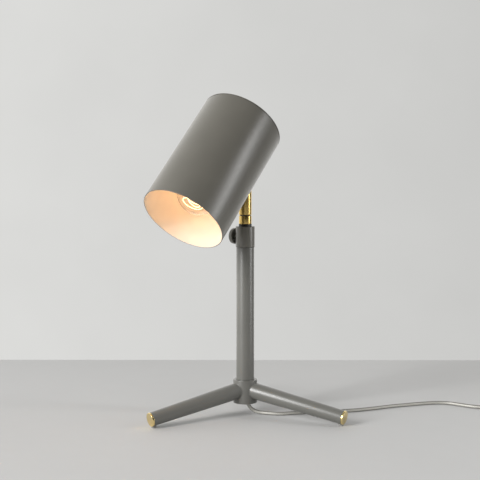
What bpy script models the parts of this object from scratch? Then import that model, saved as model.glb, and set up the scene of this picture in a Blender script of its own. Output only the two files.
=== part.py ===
"""Architect desk lamp: tripod stand, height clamp, swivel neck, tilting cylinder shade, inline switch and plug.

Metres, +Z up. The origin is on the stem's axis, on the surface the lamp stands on. +Y runs away from the front.
"""
import math

import bmesh
import bpy
from mathutils import Matrix, Vector

MM = 0.001
TOUCH = 0.3 * MM  # gap kept between pieces that touch
MERGE = 0.00005
FINE = 32  # steps round the larger turned pieces
MEDIUM = 24
SMALL = 16
TINY = 12

# Tripod
LEG_HEADINGS = {"left": 212.65, "right": 332.65, "back": 92.65}
LEG_SLOPE = math.radians(9.68)
LEG_AXIS_HEIGHT = 37.5 * MM  # where the leg axes meet the stem's axis
LEG_ROOT_RADIUS = 11.6 * MM  # where a leg meets the hub; it tapers evenly to its tip
LEG_TIP_RADIUS = 9.6 * MM
LEG_WALL = 1.5 * MM
LEG_END = 153.5 * MM  # distance from the stem's axis to the face of the cap
CAP_THICKNESS = 2.6 * MM
PAD_LENGTH = 7.0 * MM
PAD_WIDTH = 6.5 * MM

# Hub and stem
HUB_RADIUS = 17.0 * MM
HUB_BOTTOM = 17.4 * MM
HUB_TOP = 50.7 * MM
HUB_BORE = 11.0 * MM
STEM_SEAT = 44.7 * MM
RECESS_RADIUS = 14.5 * MM
RECESS_TOP = 23.6 * MM
COVER_BOTTOM = 18.0 * MM
COVER_TOP = 20.0 * MM
COVER_SCREWS = {"front": 272.65, "rear": 152.65}  # headings
COVER_SCREW_REACH = 12.4 * MM
THREAD_HOLE = 1.6 * MM
STEM_RADIUS = 12.7 * MM
STEM_BORE = 11.0 * MM

# Height clamp and mast
COLLAR_BOTTOM = 239.9 * MM
COLLAR_TOP = 269.4 * MM
COLLAR_RADIUS = 13.45 * MM
MAST_RADIUS = 7.8 * MM
MAST_BORE = 6.3 * MM
MAST_BOTTOM = 118.0 * MM
KNOB_HEADING = math.radians(138.0)
KNOB_HEIGHT = 254.8 * MM
KNOB_RADIUS = 11.5 * MM
KNOB_INNER = 16.0 * MM  # distances from the stem's axis, along the screw
KNOB_OUTER = 22.2 * MM
KNOB_HOLLOW = 9.1 * MM
SHANK_RADIUS = 2.2 * MM
COUPLER_BOTTOM = 273.0 * MM
COUPLER_TOP = 284.3 * MM
NECK_BOTTOM = 285.7 * MM
NECK_RADIUS = 9.0 * MM
STUD_RADIUS = 4.9 * MM

# Swivel and tilt
SWIVEL_HEADING = math.radians(230.37)  # the way the shade's mouth faces
PIVOT_HEIGHT = 318.3 * MM
SHADE_ELEVATION = math.radians(46.79)  # how far the shade's axis points down
SLOT_HALF = 4.0 * MM
TONGUE_HALF = 3.0 * MM

# Shade, in the head's frame: x towards the shade's axis, y along the pivot, z towards the closed end
SHADE_RADIUS = 58.7 * MM
SHADE_WALL = 1.2 * MM
SHADE_AXIS = SHADE_RADIUS + 12.0 * MM
SHADE_MOUTH = -113.3 * MM
SHADE_TOP = 64.4 * MM
BULB_TIP = SHADE_MOUTH + 17.2 * MM
BULB_RADIUS = 30.0 * MM
FILAMENT_TOP = BULB_TIP + 35.0 * MM
FILAMENT_DROP = 26.0 * MM
FILAMENT_WIDE = 14.0 * MM
FILAMENT_NARROW = 9.4 * MM
BRACKET_PLATE = 30.3 * MM

# Power cord
CORD_RADIUS = 2.5 * MM
CORD_EXIT = Vector((4.6, 1.9, 13.8)) * MM
CORD_EXIT_TILT = math.radians(60.0)
CORD_EXIT_HEADING = math.radians(-10.0)
RELIEF_LENGTH = 20.0 * MM
CORD_TO_SWITCH = [
    (4.9, 1.85, 13.2), (6.1, 1.6, 11.1), (8.7, 1.2, 7.9), (12.2, 0.6, 5.5), (17.5, -0.6, 3.5),
    (24.0, -1.9, 2.65), (33.0, -4.8, 2.5), (44.0, -7.9, 2.5), (55.0, -7.8, 2.5), (69.0, -3.4, 2.5),
    (92.0, 1.8, 2.5), (118.0, 5.0, 2.5), (145.0, 9.8, 2.5), (168.0, 17.0, 2.5), (189.0, 26.5, 2.5),
    (209.0, 36.4, 2.5), (228.0, 44.4, 2.5), (247.0, 51.4, 2.5), (266.0, 57.8, 2.5), (281.0, 61.6, 2.5),
    (294.0, 61.8, 2.5), (306.0, 57.4, 2.5), (318.0, 48.6, 2.5), (330.0, 39.6, 2.5), (344.0, 33.4, 2.55),
    (358.0, 30.4, 3.6), (370.0, 28.6, 5.0),
]
SWITCH_HEADING = math.radians(-10.0)
SWITCH_CENTRE = Vector((398.4, 23.6, 0.0)) * MM
SWITCH_LENGTH = 56.0 * MM
SWITCH_WIDTH = 24.0 * MM
SWITCH_SPLIT = 7.5 * MM
SWITCH_TOP = 14.5 * MM
ROCKER_HEIGHT = 10.5 * MM
ROCKER_TILT = math.radians(8.0)
COIL_CENTRE = Vector((446.0, -28.2, 0.0)) * MM
COIL_INNER = 20.0 * MM
COIL_OUTER = 40.0 * MM
COIL_HEIGHT = 10.0 * MM
CORD_TO_COIL = [
    (426.5, 18.4, 5.0), (434.0, 16.6, 3.9), (441.0, 14.4, 2.6),
]
CORD_TO_PLUG = [
    (488.9, -28.2, 2.5), (486.3, -42.9, 2.5), (478.9, -55.8, 2.5), (467.5, -65.4, 2.5), (453.4, -70.4, 2.5),
    (444.0, -72.1, 2.5), (434.0, -73.9, 2.6), (424.0, -75.7, 3.4), (414.0, -77.4, 5.2), (406.0, -78.7, 6.7),
    (400.0, -79.7, 7.0),
]
PLUG_HEADING = math.radians(189.5)
PLUG_LENGTH = 32.0 * MM

# Finishes: base colour, roughness, metallic
COLOURS = {
    "grey_paint": ((0.16, 0.155, 0.14), 0.42, 0.0),
    "white_paint": ((0.85, 0.83, 0.78), 0.6, 0.0),
    "brass": ((0.72, 0.55, 0.24), 0.25, 1.0),
    "black_plastic": ((0.02, 0.02, 0.02), 0.5, 0.0),
    "steel": ((0.55, 0.55, 0.56), 0.3, 1.0),
    "rubber": ((0.04, 0.04, 0.04), 0.8, 0.0),
    "porcelain": ((0.85, 0.83, 0.78), 0.3, 0.0),
    "clear_glass": ((0.95, 0.95, 0.92), 0.05, 0.0),
    "filament": ((1.0, 0.75, 0.4), 0.4, 0.0),
    "clear_cord": ((0.55, 0.54, 0.52), 0.35, 0.0),
}


def clear_scene():
    for obj in list(bpy.data.objects):
        bpy.data.objects.remove(obj, do_unlink=True)


def new_collection(name):
    collection = bpy.data.collections.new(name)
    bpy.context.scene.collection.children.link(collection)
    return collection


clear_scene()
LAMP = new_collection("architect_desk_lamp")
CUTTERS = new_collection("cutters")


def material(name):
    """The named finish, made once."""
    found = bpy.data.materials.get(name)
    if found:
        return found
    colour, roughness, metallic = COLOURS[name]
    made = bpy.data.materials.new(name)
    made.use_nodes = True
    shader = made.node_tree.nodes["Principled BSDF"]
    shader.inputs["Base Color"].default_value = (*colour, 1.0)
    shader.inputs["Roughness"].default_value = roughness
    shader.inputs["Metallic"].default_value = metallic
    return made


def empty(name, parent, location, rotation=(0.0, 0.0, 0.0)):
    """A frame for a moving group: it sits on the group's joint axis."""
    frame = bpy.data.objects.new(name, None)
    LAMP.objects.link(frame)
    frame.parent = parent
    frame.location = location
    frame.rotation_euler = rotation
    return frame


def add_mesh(name, mesh, finish, parent, matrix=None, collection=None):
    obj = bpy.data.objects.new(name, mesh)
    (collection or LAMP).objects.link(obj)
    obj.parent = parent
    if matrix is not None:
        obj.matrix_local = matrix
    if finish:
        mesh.materials.append(material(finish))
    return obj


def turned(name, profile, steps, finish, parent, matrix=None, hollow=False, collection=None):
    """A shape turned about its own Z from (radius, height) points that run down its outer side.

    A hollow piece's profile is a closed loop; a solid one starts and ends on the axis.
    """
    mesh = bpy.data.meshes.new(name)
    points = [(r, 0.0, z) for r, z in profile]
    edges = [(i, i + 1) for i in range(len(points) - 1)]
    if hollow:
        edges.append((len(points) - 1, 0))
    mesh.from_pydata(points, edges, [])
    obj = add_mesh(name, mesh, finish, parent, matrix, collection)
    screw = obj.modifiers.new("turn", "SCREW")
    screw.axis = "Z"
    screw.steps = steps
    screw.render_steps = steps
    screw.use_merge_vertices = True
    screw.merge_threshold = MERGE
    screw.use_smooth_shade = True
    return obj


def arc(centre, radius, start, end, count):
    """Points of an arc in a profile's plane, from start to end degrees."""
    angles = [math.radians(start + (end - start) * i / count) for i in range(count + 1)]
    return [(centre[0] + radius * math.cos(a), centre[1] + radius * math.sin(a)) for a in angles]


def rod_profile(radius, low, high, edge=0.0):
    """Outline of a solid rod with chamfered ends."""
    if not edge:
        return [(0.0, high), (radius, high), (radius, low), (0.0, low)]
    return [(0.0, high), (radius - edge, high), (radius, high - edge),
            (radius, low + edge), (radius - edge, low), (0.0, low)]


def tube_profile(outer, inner, low, high, edge=0.0):
    """Closed outline of a tube, its outer edges chamfered."""
    if not edge:
        return [(outer, high), (outer, low), (inner, low), (inner, high)]
    return [(outer - edge, high), (outer, high - edge), (outer, low + edge),
            (outer - edge, low), (inner, low), (inner, high)]


def frame_along(origin, direction, side=Vector((0.0, 0.0, 1.0))):
    """A matrix whose Z axis runs along the direction."""
    z_axis = Vector(direction).normalized()
    x_axis = side - z_axis * side.dot(z_axis)
    if x_axis.length < 1e-6:
        x_axis = Vector((1.0, 0.0, 0.0))
    x_axis.normalize()
    y_axis = z_axis.cross(x_axis)
    rotation = Matrix((x_axis, y_axis, z_axis)).transposed().to_4x4()
    return Matrix.Translation(origin) @ rotation


def box_mesh(name, low, high):
    mesh = bpy.data.meshes.new(name)
    bm = bmesh.new()
    bmesh.ops.create_cube(bm, size=1.0)
    size = Vector(high) - Vector(low)
    centre = (Vector(high) + Vector(low)) / 2.0
    bmesh.ops.scale(bm, vec=size, verts=bm.verts)
    bmesh.ops.translate(bm, vec=centre, verts=bm.verts)
    bm.to_mesh(mesh)
    bm.free()
    return mesh


def hide(cutter):
    cutter.hide_render = True
    cutter.display_type = "WIRE"
    return cutter


def box_cutter(name, low, high, parent, matrix=None):
    return hide(add_mesh(name, box_mesh(name, low, high), None, parent, matrix, CUTTERS))


def round_cutter(name, radius, low, high, parent, matrix=None, steps=MEDIUM):
    profile = rod_profile(radius, low, high)
    return hide(turned(name, profile, steps, None, parent, matrix, collection=CUTTERS))


def combine(obj, tool, operation="DIFFERENCE"):
    """A Boolean with another object, which stays out of the build."""
    boolean = obj.modifiers.new(tool.name, "BOOLEAN")
    boolean.object = tool
    boolean.operation = operation
    boolean.solver = "EXACT"
    return obj


def smooth_path(points, spacing):
    """Points about one spacing apart on a Catmull-Rom curve through the given ones."""
    knots = [Vector(p) for p in points]
    ends = [knots[0] * 2 - knots[1]] + knots + [knots[-1] * 2 - knots[-2]]
    fine = []
    for before, start, end, after in zip(ends, ends[1:], ends[2:], ends[3:]):
        for i in range(24):
            t = i / 24.0
            fine.append(0.5 * (2 * start + (end - before) * t
                               + (2 * before - 5 * start + 4 * end - after) * t * t
                               + (3 * start - before - 3 * end + after) * t ** 3))
    fine.append(knots[-1])
    lengths = [0.0]
    for a, b in zip(fine, fine[1:]):
        lengths.append(lengths[-1] + (b - a).length)
    count = max(2, round(lengths[-1] / spacing))
    path, i = [], 0
    for k in range(count + 1):
        target = lengths[-1] * k / count
        while i < len(fine) - 2 and lengths[i + 1] < target:
            i += 1
        share = (target - lengths[i]) / max(lengths[i + 1] - lengths[i], 1e-12)
        path.append(fine[i].lerp(fine[i + 1], min(1.0, share)))
    return path


def wire(name, points, radius, finish, parent, resolution=2):
    """A round wire or cord along the points."""
    data = bpy.data.curves.new(name, "CURVE")
    data.dimensions = "3D"
    data.bevel_depth = radius
    data.bevel_resolution = resolution
    data.use_fill_caps = True
    spline = data.splines.new("POLY")
    spline.points.add(len(points) - 1)
    for target, point in zip(spline.points, points):
        target.co = (*point, 1.0)
    data.materials.append(material(finish))
    obj = bpy.data.objects.new(name, data)
    LAMP.objects.link(obj)
    obj.parent = parent
    return obj


def plate(name, outline, low, high, finish, parent, matrix=None):
    """A flat outline raised from low to high."""
    data = bpy.data.curves.new(name, "CURVE")
    data.dimensions = "2D"
    data.fill_mode = "BOTH"
    data.extrude = (high - low) / 2.0
    spline = data.splines.new("POLY")
    spline.points.add(len(outline) - 1)
    for target, (x, y) in zip(spline.points, outline):
        target.co = (x, y, 0.0, 1.0)
    spline.use_cyclic_u = True
    source = bpy.data.objects.new(name + "_outline", data)
    CUTTERS.objects.link(source)
    bpy.context.view_layer.update()
    mesh = bpy.data.meshes.new_from_object(source.evaluated_get(bpy.context.evaluated_depsgraph_get()))
    bpy.data.objects.remove(source)
    mesh.name = name
    bm = bmesh.new()
    bm.from_mesh(mesh)
    bmesh.ops.translate(bm, vec=(0.0, 0.0, (high + low) / 2.0), verts=bm.verts)
    bmesh.ops.remove_doubles(bm, verts=bm.verts, dist=0.00001)
    bmesh.ops.recalc_face_normals(bm, faces=bm.faces)
    bm.to_mesh(mesh)
    bm.free()
    return add_mesh(name, mesh, finish, parent, matrix)


def rounded_outline(length, width, corner, count=4):
    """A rectangle with round corners, centred on the origin."""
    points = []
    for start, sx, sy in ((0, 1, 1), (90, -1, 1), (180, -1, -1), (270, 1, -1)):
        centre = (sx * (length / 2 - corner), sy * (width / 2 - corner))
        points += arc(centre, corner, start, start + 90, count)
    return points


# --- Tripod -----------------------------------------------------------------------------------------------

def leg_direction(side):
    heading = math.radians(LEG_HEADINGS[side])
    flat = Vector((math.cos(heading), math.sin(heading), 0.0))
    return flat * math.cos(LEG_SLOPE) - Vector((0.0, 0.0, math.sin(LEG_SLOPE)))


def leg_frame(side):
    """Z runs out along the leg, X points up."""
    return frame_along(Vector((0.0, 0.0, LEG_AXIS_HEIGHT)), leg_direction(side))


def leg_radius(along):
    """A leg's outer radius at a distance along it from the stem's axis."""
    tip = LEG_END / math.cos(LEG_SLOPE)
    return LEG_ROOT_RADIUS + (LEG_TIP_RADIUS - LEG_ROOT_RADIUS) * (along - HUB_RADIUS) / (tip - HUB_RADIUS)


def make_leg(side, stand):
    frame = leg_frame(side)
    start = 0.6 * HUB_RADIUS
    end = LEG_END / math.cos(LEG_SLOPE) - CAP_THICKNESS
    profile = [(leg_radius(start), start), (leg_radius(start) - LEG_WALL, start),
               (LEG_TIP_RADIUS - LEG_WALL, end - TOUCH), (LEG_TIP_RADIUS, end - TOUCH)]
    leg = turned("leg_" + side, profile, MEDIUM, "grey_paint", stand, frame, hollow=True)
    combine(leg, round_cutter("hub_cut_" + side, HUB_RADIUS + TOUCH, 0.0, HUB_TOP + 0.01, stand, None, FINE))
    face = end + CAP_THICKNESS
    edge = 0.6 * MM
    spigot = LEG_TIP_RADIUS - LEG_WALL - TOUCH
    profile = [(0.0, face), (LEG_TIP_RADIUS - edge, face), (LEG_TIP_RADIUS, face - edge),
               (LEG_TIP_RADIUS, end + edge), (LEG_TIP_RADIUS - edge, end), (spigot, end), (spigot, end - 7.0 * MM),
               (0.0, end - 7.0 * MM)]
    turned("leg_cap_" + side, profile, MEDIUM, "brass", stand, frame)
    make_foot_pad(side, stand, frame, end)


def make_foot_pad(side, stand, frame, end):
    """A small rubber wedge under the leg's end: flat on the floor, hollowed on top to fit the tube."""
    heading = math.radians(LEG_HEADINGS[side])
    tip = frame @ Vector((-LEG_TIP_RADIUS, 0.0, end + CAP_THICKNESS - 1.2 * MM))
    centre = Vector((tip.x, tip.y, 0.0)) - Vector((math.cos(heading), math.sin(heading), 0.0)) * PAD_LENGTH / 2.0
    matrix = Matrix.Translation(centre) @ Matrix.Rotation(heading, 4, "Z")
    outline = rounded_outline(PAD_LENGTH, PAD_WIDTH, 3.0 * MM)
    pad = plate("foot_pad_" + side, outline, 0.0, 5.0 * MM, "rubber", stand, matrix)
    low, high = end - 0.03, end + 0.01
    profile = [(0.0, high), (leg_radius(high) + TOUCH, high), (leg_radius(low) + TOUCH, low), (0.0, low)]
    cutter = hide(turned("pad_cut_" + side, profile, MEDIUM, None, stand, frame, collection=CUTTERS))
    combine(pad, cutter)


def make_hub(stand):
    edge = 0.8 * MM
    profile = [(HUB_BORE, STEM_SEAT), (STEM_RADIUS + TOUCH, STEM_SEAT), (STEM_RADIUS + TOUCH, HUB_TOP),
               (HUB_RADIUS - edge, HUB_TOP), (HUB_RADIUS, HUB_TOP - edge), (HUB_RADIUS, HUB_BOTTOM + edge),
               (HUB_RADIUS - edge, HUB_BOTTOM), (RECESS_RADIUS, HUB_BOTTOM), (RECESS_RADIUS, RECESS_TOP),
               (HUB_BORE, RECESS_TOP)]
    hub = turned("hub", profile, FINE, "grey_paint", stand, hollow=True)
    for name, heading in COVER_SCREWS.items():
        place = Matrix.Translation(screw_place(heading))
        combine(hub, round_cutter("tapped_" + name, THREAD_HOLE, COVER_TOP, 30.0 * MM, stand, place, TINY))
    return hub


def screw_place(heading):
    angle = math.radians(heading)
    return Vector((math.cos(angle), math.sin(angle), 0.0)) * COVER_SCREW_REACH


def relief_frame():
    """Z runs back up along the strain relief, from its tip."""
    flat = Vector((math.cos(CORD_EXIT_HEADING), math.sin(CORD_EXIT_HEADING), 0.0))
    out = flat * math.cos(CORD_EXIT_TILT) - Vector((0.0, 0.0, math.sin(CORD_EXIT_TILT)))
    return frame_along(CORD_EXIT, -out)


def make_hub_cover(stand):
    disc = rod_profile(RECESS_RADIUS - TOUCH, COVER_BOTTOM, COVER_TOP)
    cover = turned("hub_cover", disc, FINE, "black_plastic", stand)
    combine(cover, round_cutter("cover_cord_hole", 4.2 * MM, -0.01, 0.03, stand, relief_frame(), MEDIUM))
    for name, heading in COVER_SCREWS.items():
        place = Matrix.Translation(screw_place(heading))
        combine(cover, round_cutter("cover_hole_" + name, THREAD_HOLE, 0.01, 0.03, stand, place, TINY))
        profile = [(0.0, COVER_BOTTOM + 10.6 * MM), (1.3 * MM, COVER_BOTTOM + 10.6 * MM),
                   (1.3 * MM, COVER_BOTTOM - TOUCH), (1.9 * MM, COVER_BOTTOM - TOUCH),
                   (1.6 * MM, COVER_BOTTOM - 1.0 * MM), (0.0, COVER_BOTTOM - 1.2 * MM)]
        turned("cover_screw_" + name, profile, TINY, "steel", stand, place)
    return cover


def make_strain_relief(stand):
    profile = [(0.0, RELIEF_LENGTH), (4.4 * MM, RELIEF_LENGTH), (4.4 * MM, RELIEF_LENGTH - 3.0 * MM),
               (3.8 * MM, RELIEF_LENGTH - 3.4 * MM), (3.0 * MM, 0.6 * MM), (2.7 * MM, 0.0), (0.0, 0.0)]
    turned("cord_strain_relief", profile, SMALL, "clear_cord", stand, relief_frame())


def make_stem(stand):
    turned("stem_tube", tube_profile(STEM_RADIUS, STEM_BORE, STEM_SEAT + TOUCH, COLLAR_BOTTOM - TOUCH), FINE,
           "grey_paint", stand, hollow=True)
    back = relief_frame() @ Vector((0.0, 0.0, RELIEF_LENGTH + 0.8 * MM))
    up = relief_frame() @ Vector((0.0, 0.0, RELIEF_LENGTH + 5.0 * MM))
    route = [back, up, Vector((-6.6, 3.9, 45.0)) * MM, Vector((-4.2, 2.4, 62.0)) * MM,
             Vector((0.0, 0.0, 86.0)) * MM, Vector((0.0, 0.0, 110.5)) * MM]
    wire("stem_lead", smooth_path(route, 9.0 * MM), CORD_RADIUS, "clear_cord", stand)


def make_collar(stand):
    edge = 0.7 * MM
    spigot = STEM_BORE - TOUCH
    bore = MAST_RADIUS + TOUCH
    counterbore = 9.4 * MM
    seat = COLLAR_TOP - 7.1 * MM
    profile = [(counterbore, COLLAR_TOP), (COLLAR_RADIUS - edge, COLLAR_TOP), (COLLAR_RADIUS, COLLAR_TOP - edge),
               (COLLAR_RADIUS, COLLAR_BOTTOM + 0.4 * MM), (COLLAR_RADIUS - 0.4 * MM, COLLAR_BOTTOM),
               (spigot, COLLAR_BOTTOM), (spigot, COLLAR_BOTTOM - 17.0 * MM), (bore, COLLAR_BOTTOM - 17.0 * MM),
               (bore, seat), (counterbore, seat)]
    collar = turned("clamp_collar", profile, FINE, "grey_paint", stand, hollow=True)
    combine(collar, round_cutter("clamp_thread", 2.5 * MM, 5.0 * MM, 20.0 * MM, stand, knob_frame(), SMALL))
    bushing = tube_profile(counterbore - TOUCH, bore, seat + TOUCH, COUPLER_BOTTOM - TOUCH, 0.3 * MM)
    turned("guide_bushing", bushing, MEDIUM, "black_plastic", stand, hollow=True)


def knob_frame():
    """Z runs out along the thumb screw."""
    direction = Vector((math.cos(KNOB_HEADING), math.sin(KNOB_HEADING), 0.0))
    return frame_along(Vector((0.0, 0.0, KNOB_HEIGHT)), direction)


def make_thumb_screw(screw, knob):
    """Both pieces are built in frames whose Z is the screw's axis. The knob is hollow on the stem's side."""
    end, edge = 19.6 * MM, 1.4 * MM
    turned("thumb_screw_shank", rod_profile(SHANK_RADIUS, MAST_RADIUS + TOUCH, end, 0.4 * MM), SMALL, "steel", screw)
    bore, boss, floor = SHANK_RADIUS + TOUCH, 4.6 * MM, 20.2 * MM
    profile = [(0.0, KNOB_OUTER)] + arc((KNOB_RADIUS - edge, KNOB_OUTER - edge), edge, 90, 0, 2)
    profile += arc((KNOB_RADIUS - 0.8 * MM, KNOB_INNER + 0.8 * MM), 0.8 * MM, 0, -90, 2)
    profile += [(KNOB_HOLLOW, KNOB_INNER), (KNOB_HOLLOW, floor), (boss, floor), (boss, KNOB_INNER + 0.8 * MM),
                (bore, KNOB_INNER + 0.8 * MM), (bore, end + TOUCH), (0.0, end + TOUCH)]
    turned("thumb_screw_knob", profile, FINE, "grey_paint", knob)


# --- Mast, neck and knuckle -------------------------------------------------------------------------------

def make_mast(mast):
    turned("mast_tube", tube_profile(MAST_RADIUS, MAST_BORE, MAST_BOTTOM + TOUCH, COUPLER_BOTTOM + 3.0 * MM), MEDIUM,
           "brass", mast, hollow=True)
    stop_radius, lead_hole = 10.4 * MM, 3.0 * MM
    profile = [(MAST_BORE - TOUCH, MAST_BOTTOM + 10 * MM), (MAST_BORE - TOUCH, MAST_BOTTOM),
               (stop_radius, MAST_BOTTOM), (stop_radius, MAST_BOTTOM - 5 * MM), (lead_hole, MAST_BOTTOM - 5 * MM),
               (lead_hole, MAST_BOTTOM + 10 * MM)]
    turned("mast_stop", profile, MEDIUM, "black_plastic", mast, hollow=True)
    edge = 0.35 * MM
    profile = [(STUD_RADIUS + TOUCH, COUPLER_TOP), (NECK_RADIUS - edge, COUPLER_TOP),
               (NECK_RADIUS, COUPLER_TOP - edge), (NECK_RADIUS, COUPLER_BOTTOM),
               (MAST_RADIUS + TOUCH, COUPLER_BOTTOM), (MAST_RADIUS + TOUCH, COUPLER_BOTTOM + 3.3 * MM),
               (6.8 * MM, COUPLER_BOTTOM + 3.3 * MM), (6.8 * MM, COUPLER_TOP - 4.0 * MM),
               (STUD_RADIUS + TOUCH, COUPLER_TOP - 4.0 * MM)]
    turned("mast_coupler", profile, MEDIUM, "brass", mast, hollow=True)
    washer = tube_profile(8.1 * MM, STUD_RADIUS + TOUCH, COUPLER_TOP + TOUCH, NECK_BOTTOM - TOUCH)
    turned("swivel_washer", washer, MEDIUM, "black_plastic", mast, hollow=True)
    lead = [Vector((0.0, 0.0, z * MM)) for z in (129, 160, 200, 240, 272)]
    wire("mast_lead", lead, CORD_RADIUS, "clear_cord", mast)


def make_neck(neck):
    """Built in the swivel's frame: x the way the shade faces, y along the tilt pivot."""
    edge = 0.35 * MM
    bore = STUD_RADIUS + TOUCH
    dome = arc((0.0, PIVOT_HEIGHT), NECK_RADIUS, 90, 0, 6)
    profile = [(0.0, PIVOT_HEIGHT + NECK_RADIUS)] + dome[1:]
    profile += [(NECK_RADIUS, NECK_BOTTOM + edge), (NECK_RADIUS - edge, NECK_BOTTOM), (bore, NECK_BOTTOM),
                (bore, 303.0 * MM), (0.0, 303.0 * MM)]
    body = turned("neck_knuckle", profile, MEDIUM, "brass", neck)
    slot_floor = PIVOT_HEIGHT - 9.2 * MM
    combine(body, box_cutter("neck_slot", (-0.02, -SLOT_HALF, slot_floor), (0.02, SLOT_HALF, 0.34), neck))
    pin = frame_along(Vector((0.0, 0.0, PIVOT_HEIGHT)), Vector((0.0, -1.0, 0.0)))
    combine(body, round_cutter("pivot_bore", 2.6 * MM, -7.0 * MM, 12.0 * MM, neck, pin, SMALL))
    combine(body, round_cutter("pivot_seat", 4.5 * MM, 6.7 * MM, 12.0 * MM, neck, pin, SMALL))
    combine(body, round_cutter("lead_hole", 3.2 * MM, 302.0 * MM, 312.0 * MM, neck, None, SMALL))
    stud = [(3.0 * MM, 302.7 * MM), (STUD_RADIUS, 302.7 * MM), (STUD_RADIUS, COUPLER_BOTTOM + 7.0 * MM),
            (6.5 * MM, COUPLER_BOTTOM + 7.0 * MM), (6.5 * MM, COUPLER_BOTTOM + 3.6 * MM),
            (3.0 * MM, COUPLER_BOTTOM + 3.6 * MM)]
    turned("swivel_stud", stud, MEDIUM, "steel", neck, hollow=True)
    screw = [(0.0, 9.2 * MM), (3.0 * MM, 9.2 * MM), (4.1 * MM, 8.2 * MM), (4.1 * MM, 7.0 * MM),
             (2.3 * MM, 7.0 * MM), (2.3 * MM, -6.6 * MM), (0.0, -6.6 * MM)]
    turned("pivot_screw", screw, SMALL, "brass", neck, pin)
    for name, low in (("right", -SLOT_HALF + TOUCH), ("left", TONGUE_HALF + TOUCH)):
        washer = tube_profile(6.5 * MM, 2.6 * MM, low, low + 0.4 * MM)
        turned("pivot_washer_" + name, washer, SMALL, "black_plastic", neck, pin, hollow=True)


def make_shade_knuckle(head):
    """Tongue, arm, saddle pad and threaded stub, one brass casting."""
    pin = frame_along(Vector((0.0, 0.0, 0.0)), Vector((0.0, -1.0, 0.0)))
    outward = frame_along(Vector((0.0, 0.0, 0.0)), Vector((1.0, 0.0, 0.0)))
    knuckle = turned("shade_knuckle", rod_profile(7.4 * MM, -TONGUE_HALF, TONGUE_HALF, 0.4 * MM), MEDIUM, "brass",
                     head, pin)
    arm = box_cutter("knuckle_arm", (0.0, -2.9 * MM, -5.0 * MM), (11.0 * MM, 2.9 * MM, 5.0 * MM), head)
    combine(knuckle, arm, "UNION")
    pad = hide(turned("knuckle_pad", rod_profile(9.0 * MM, 9.7 * MM, 16.0 * MM), MEDIUM, None, head, outward,
                      collection=CUTTERS))
    combine(pad, shade_cutter("pad_hollow", SHADE_RADIUS + TOUCH, head))
    combine(knuckle, pad, "UNION")
    combine(knuckle, round_cutter("knuckle_stub", 4.0 * MM, 10.5 * MM, 23.0 * MM, head, outward, SMALL), "UNION")
    combine(knuckle, round_cutter("knuckle_bore", 2.6 * MM, -0.01, 0.01, head, pin, SMALL))
    combine(knuckle, round_cutter("stub_bore", 2.4 * MM, 13.0 * MM, 30.0 * MM, head, outward, TINY))


def shade_cutter(name, radius, head):
    place = Matrix.Translation((SHADE_AXIS, 0.0, 0.0))
    return round_cutter(name, radius, -0.1, 0.1, head, place, 48)


# --- Head: shade, lampholder and bulb ---------------------------------------------------------------------

def shade_place():
    return Matrix.Translation((SHADE_AXIS, 0.0, 0.0))


def make_shade(head):
    inner = SHADE_RADIUS - SHADE_WALL
    bend = 1.6 * MM
    profile = [(0.0, SHADE_TOP)] + arc((SHADE_RADIUS - bend, SHADE_TOP - bend), bend, 90, 0, 2)
    profile += [(SHADE_RADIUS, SHADE_MOUTH + 0.3 * MM), (SHADE_RADIUS - 0.3 * MM, SHADE_MOUTH),
                (inner + 0.3 * MM, SHADE_MOUTH), (inner, SHADE_MOUTH + 0.3 * MM),
                (inner, SHADE_TOP - bend), (inner - bend + SHADE_WALL, SHADE_TOP - SHADE_WALL),
                (0.0, SHADE_TOP - SHADE_WALL)]
    shade = turned("shade", profile, 48, "grey_paint", head, shade_place())
    outward = frame_along(Vector((0.0, 0.0, 0.0)), Vector((1.0, 0.0, 0.0)))
    combine(shade, round_cutter("shade_hole", 4.3 * MM, 8.0 * MM, 20.0 * MM, head, outward, SMALL))


def make_socket_bracket(head):
    """A bent steel strap: one leg lies along the shade's wall, the other carries the lampholder."""
    half, thick, bend = 7.0 * MM, 1.5 * MM, 3.0 * MM
    base, top = 14.0 * MM, BRACKET_PLATE
    path = [(base, -9.0 * MM)] + arc((base + bend, top + thick - bend), bend, 180, 90, 4)
    path += [(SHADE_AXIS + 8.0 * MM, top + thick)]
    mesh = bpy.data.meshes.new("socket_bracket")
    points = [(x, side * half, z) for x, z in path for side in (-1, 1)]
    faces = [(2 * i, 2 * i + 1, 2 * i + 3, 2 * i + 2) for i in range(len(path) - 1)]
    mesh.from_pydata(points, [], faces)
    bracket = add_mesh("socket_bracket", mesh, "steel", head)
    shell = bracket.modifiers.new("thickness", "SOLIDIFY")
    shell.thickness = thick
    shell.offset = 1.0
    shell.use_even_offset = True
    outward = frame_along(Vector((0.0, 0.0, 0.0)), Vector((1.0, 0.0, 0.0)))
    combine(bracket, round_cutter("bracket_hole", 4.3 * MM, 10.0 * MM, 20.0 * MM, head, outward, SMALL))
    combine(bracket, round_cutter("bracket_screw_hole", 1.8 * MM, 0.02, 0.04, head, shade_place(), TINY))
    turned("knuckle_washer", tube_profile(7.5 * MM, 4.3 * MM, 15.8 * MM, 16.8 * MM), SMALL, "steel", head, outward,
           hollow=True)
    nut = turned("knuckle_nut", rod_profile(7.5 * MM, 17.1 * MM, 21.6 * MM), 6, "steel", head, outward)
    nut.modifiers["turn"].use_smooth_shade = False
    combine(nut, round_cutter("nut_bore", 4.3 * MM, 16.0 * MM, 23.0 * MM, head, outward, SMALL))


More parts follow.
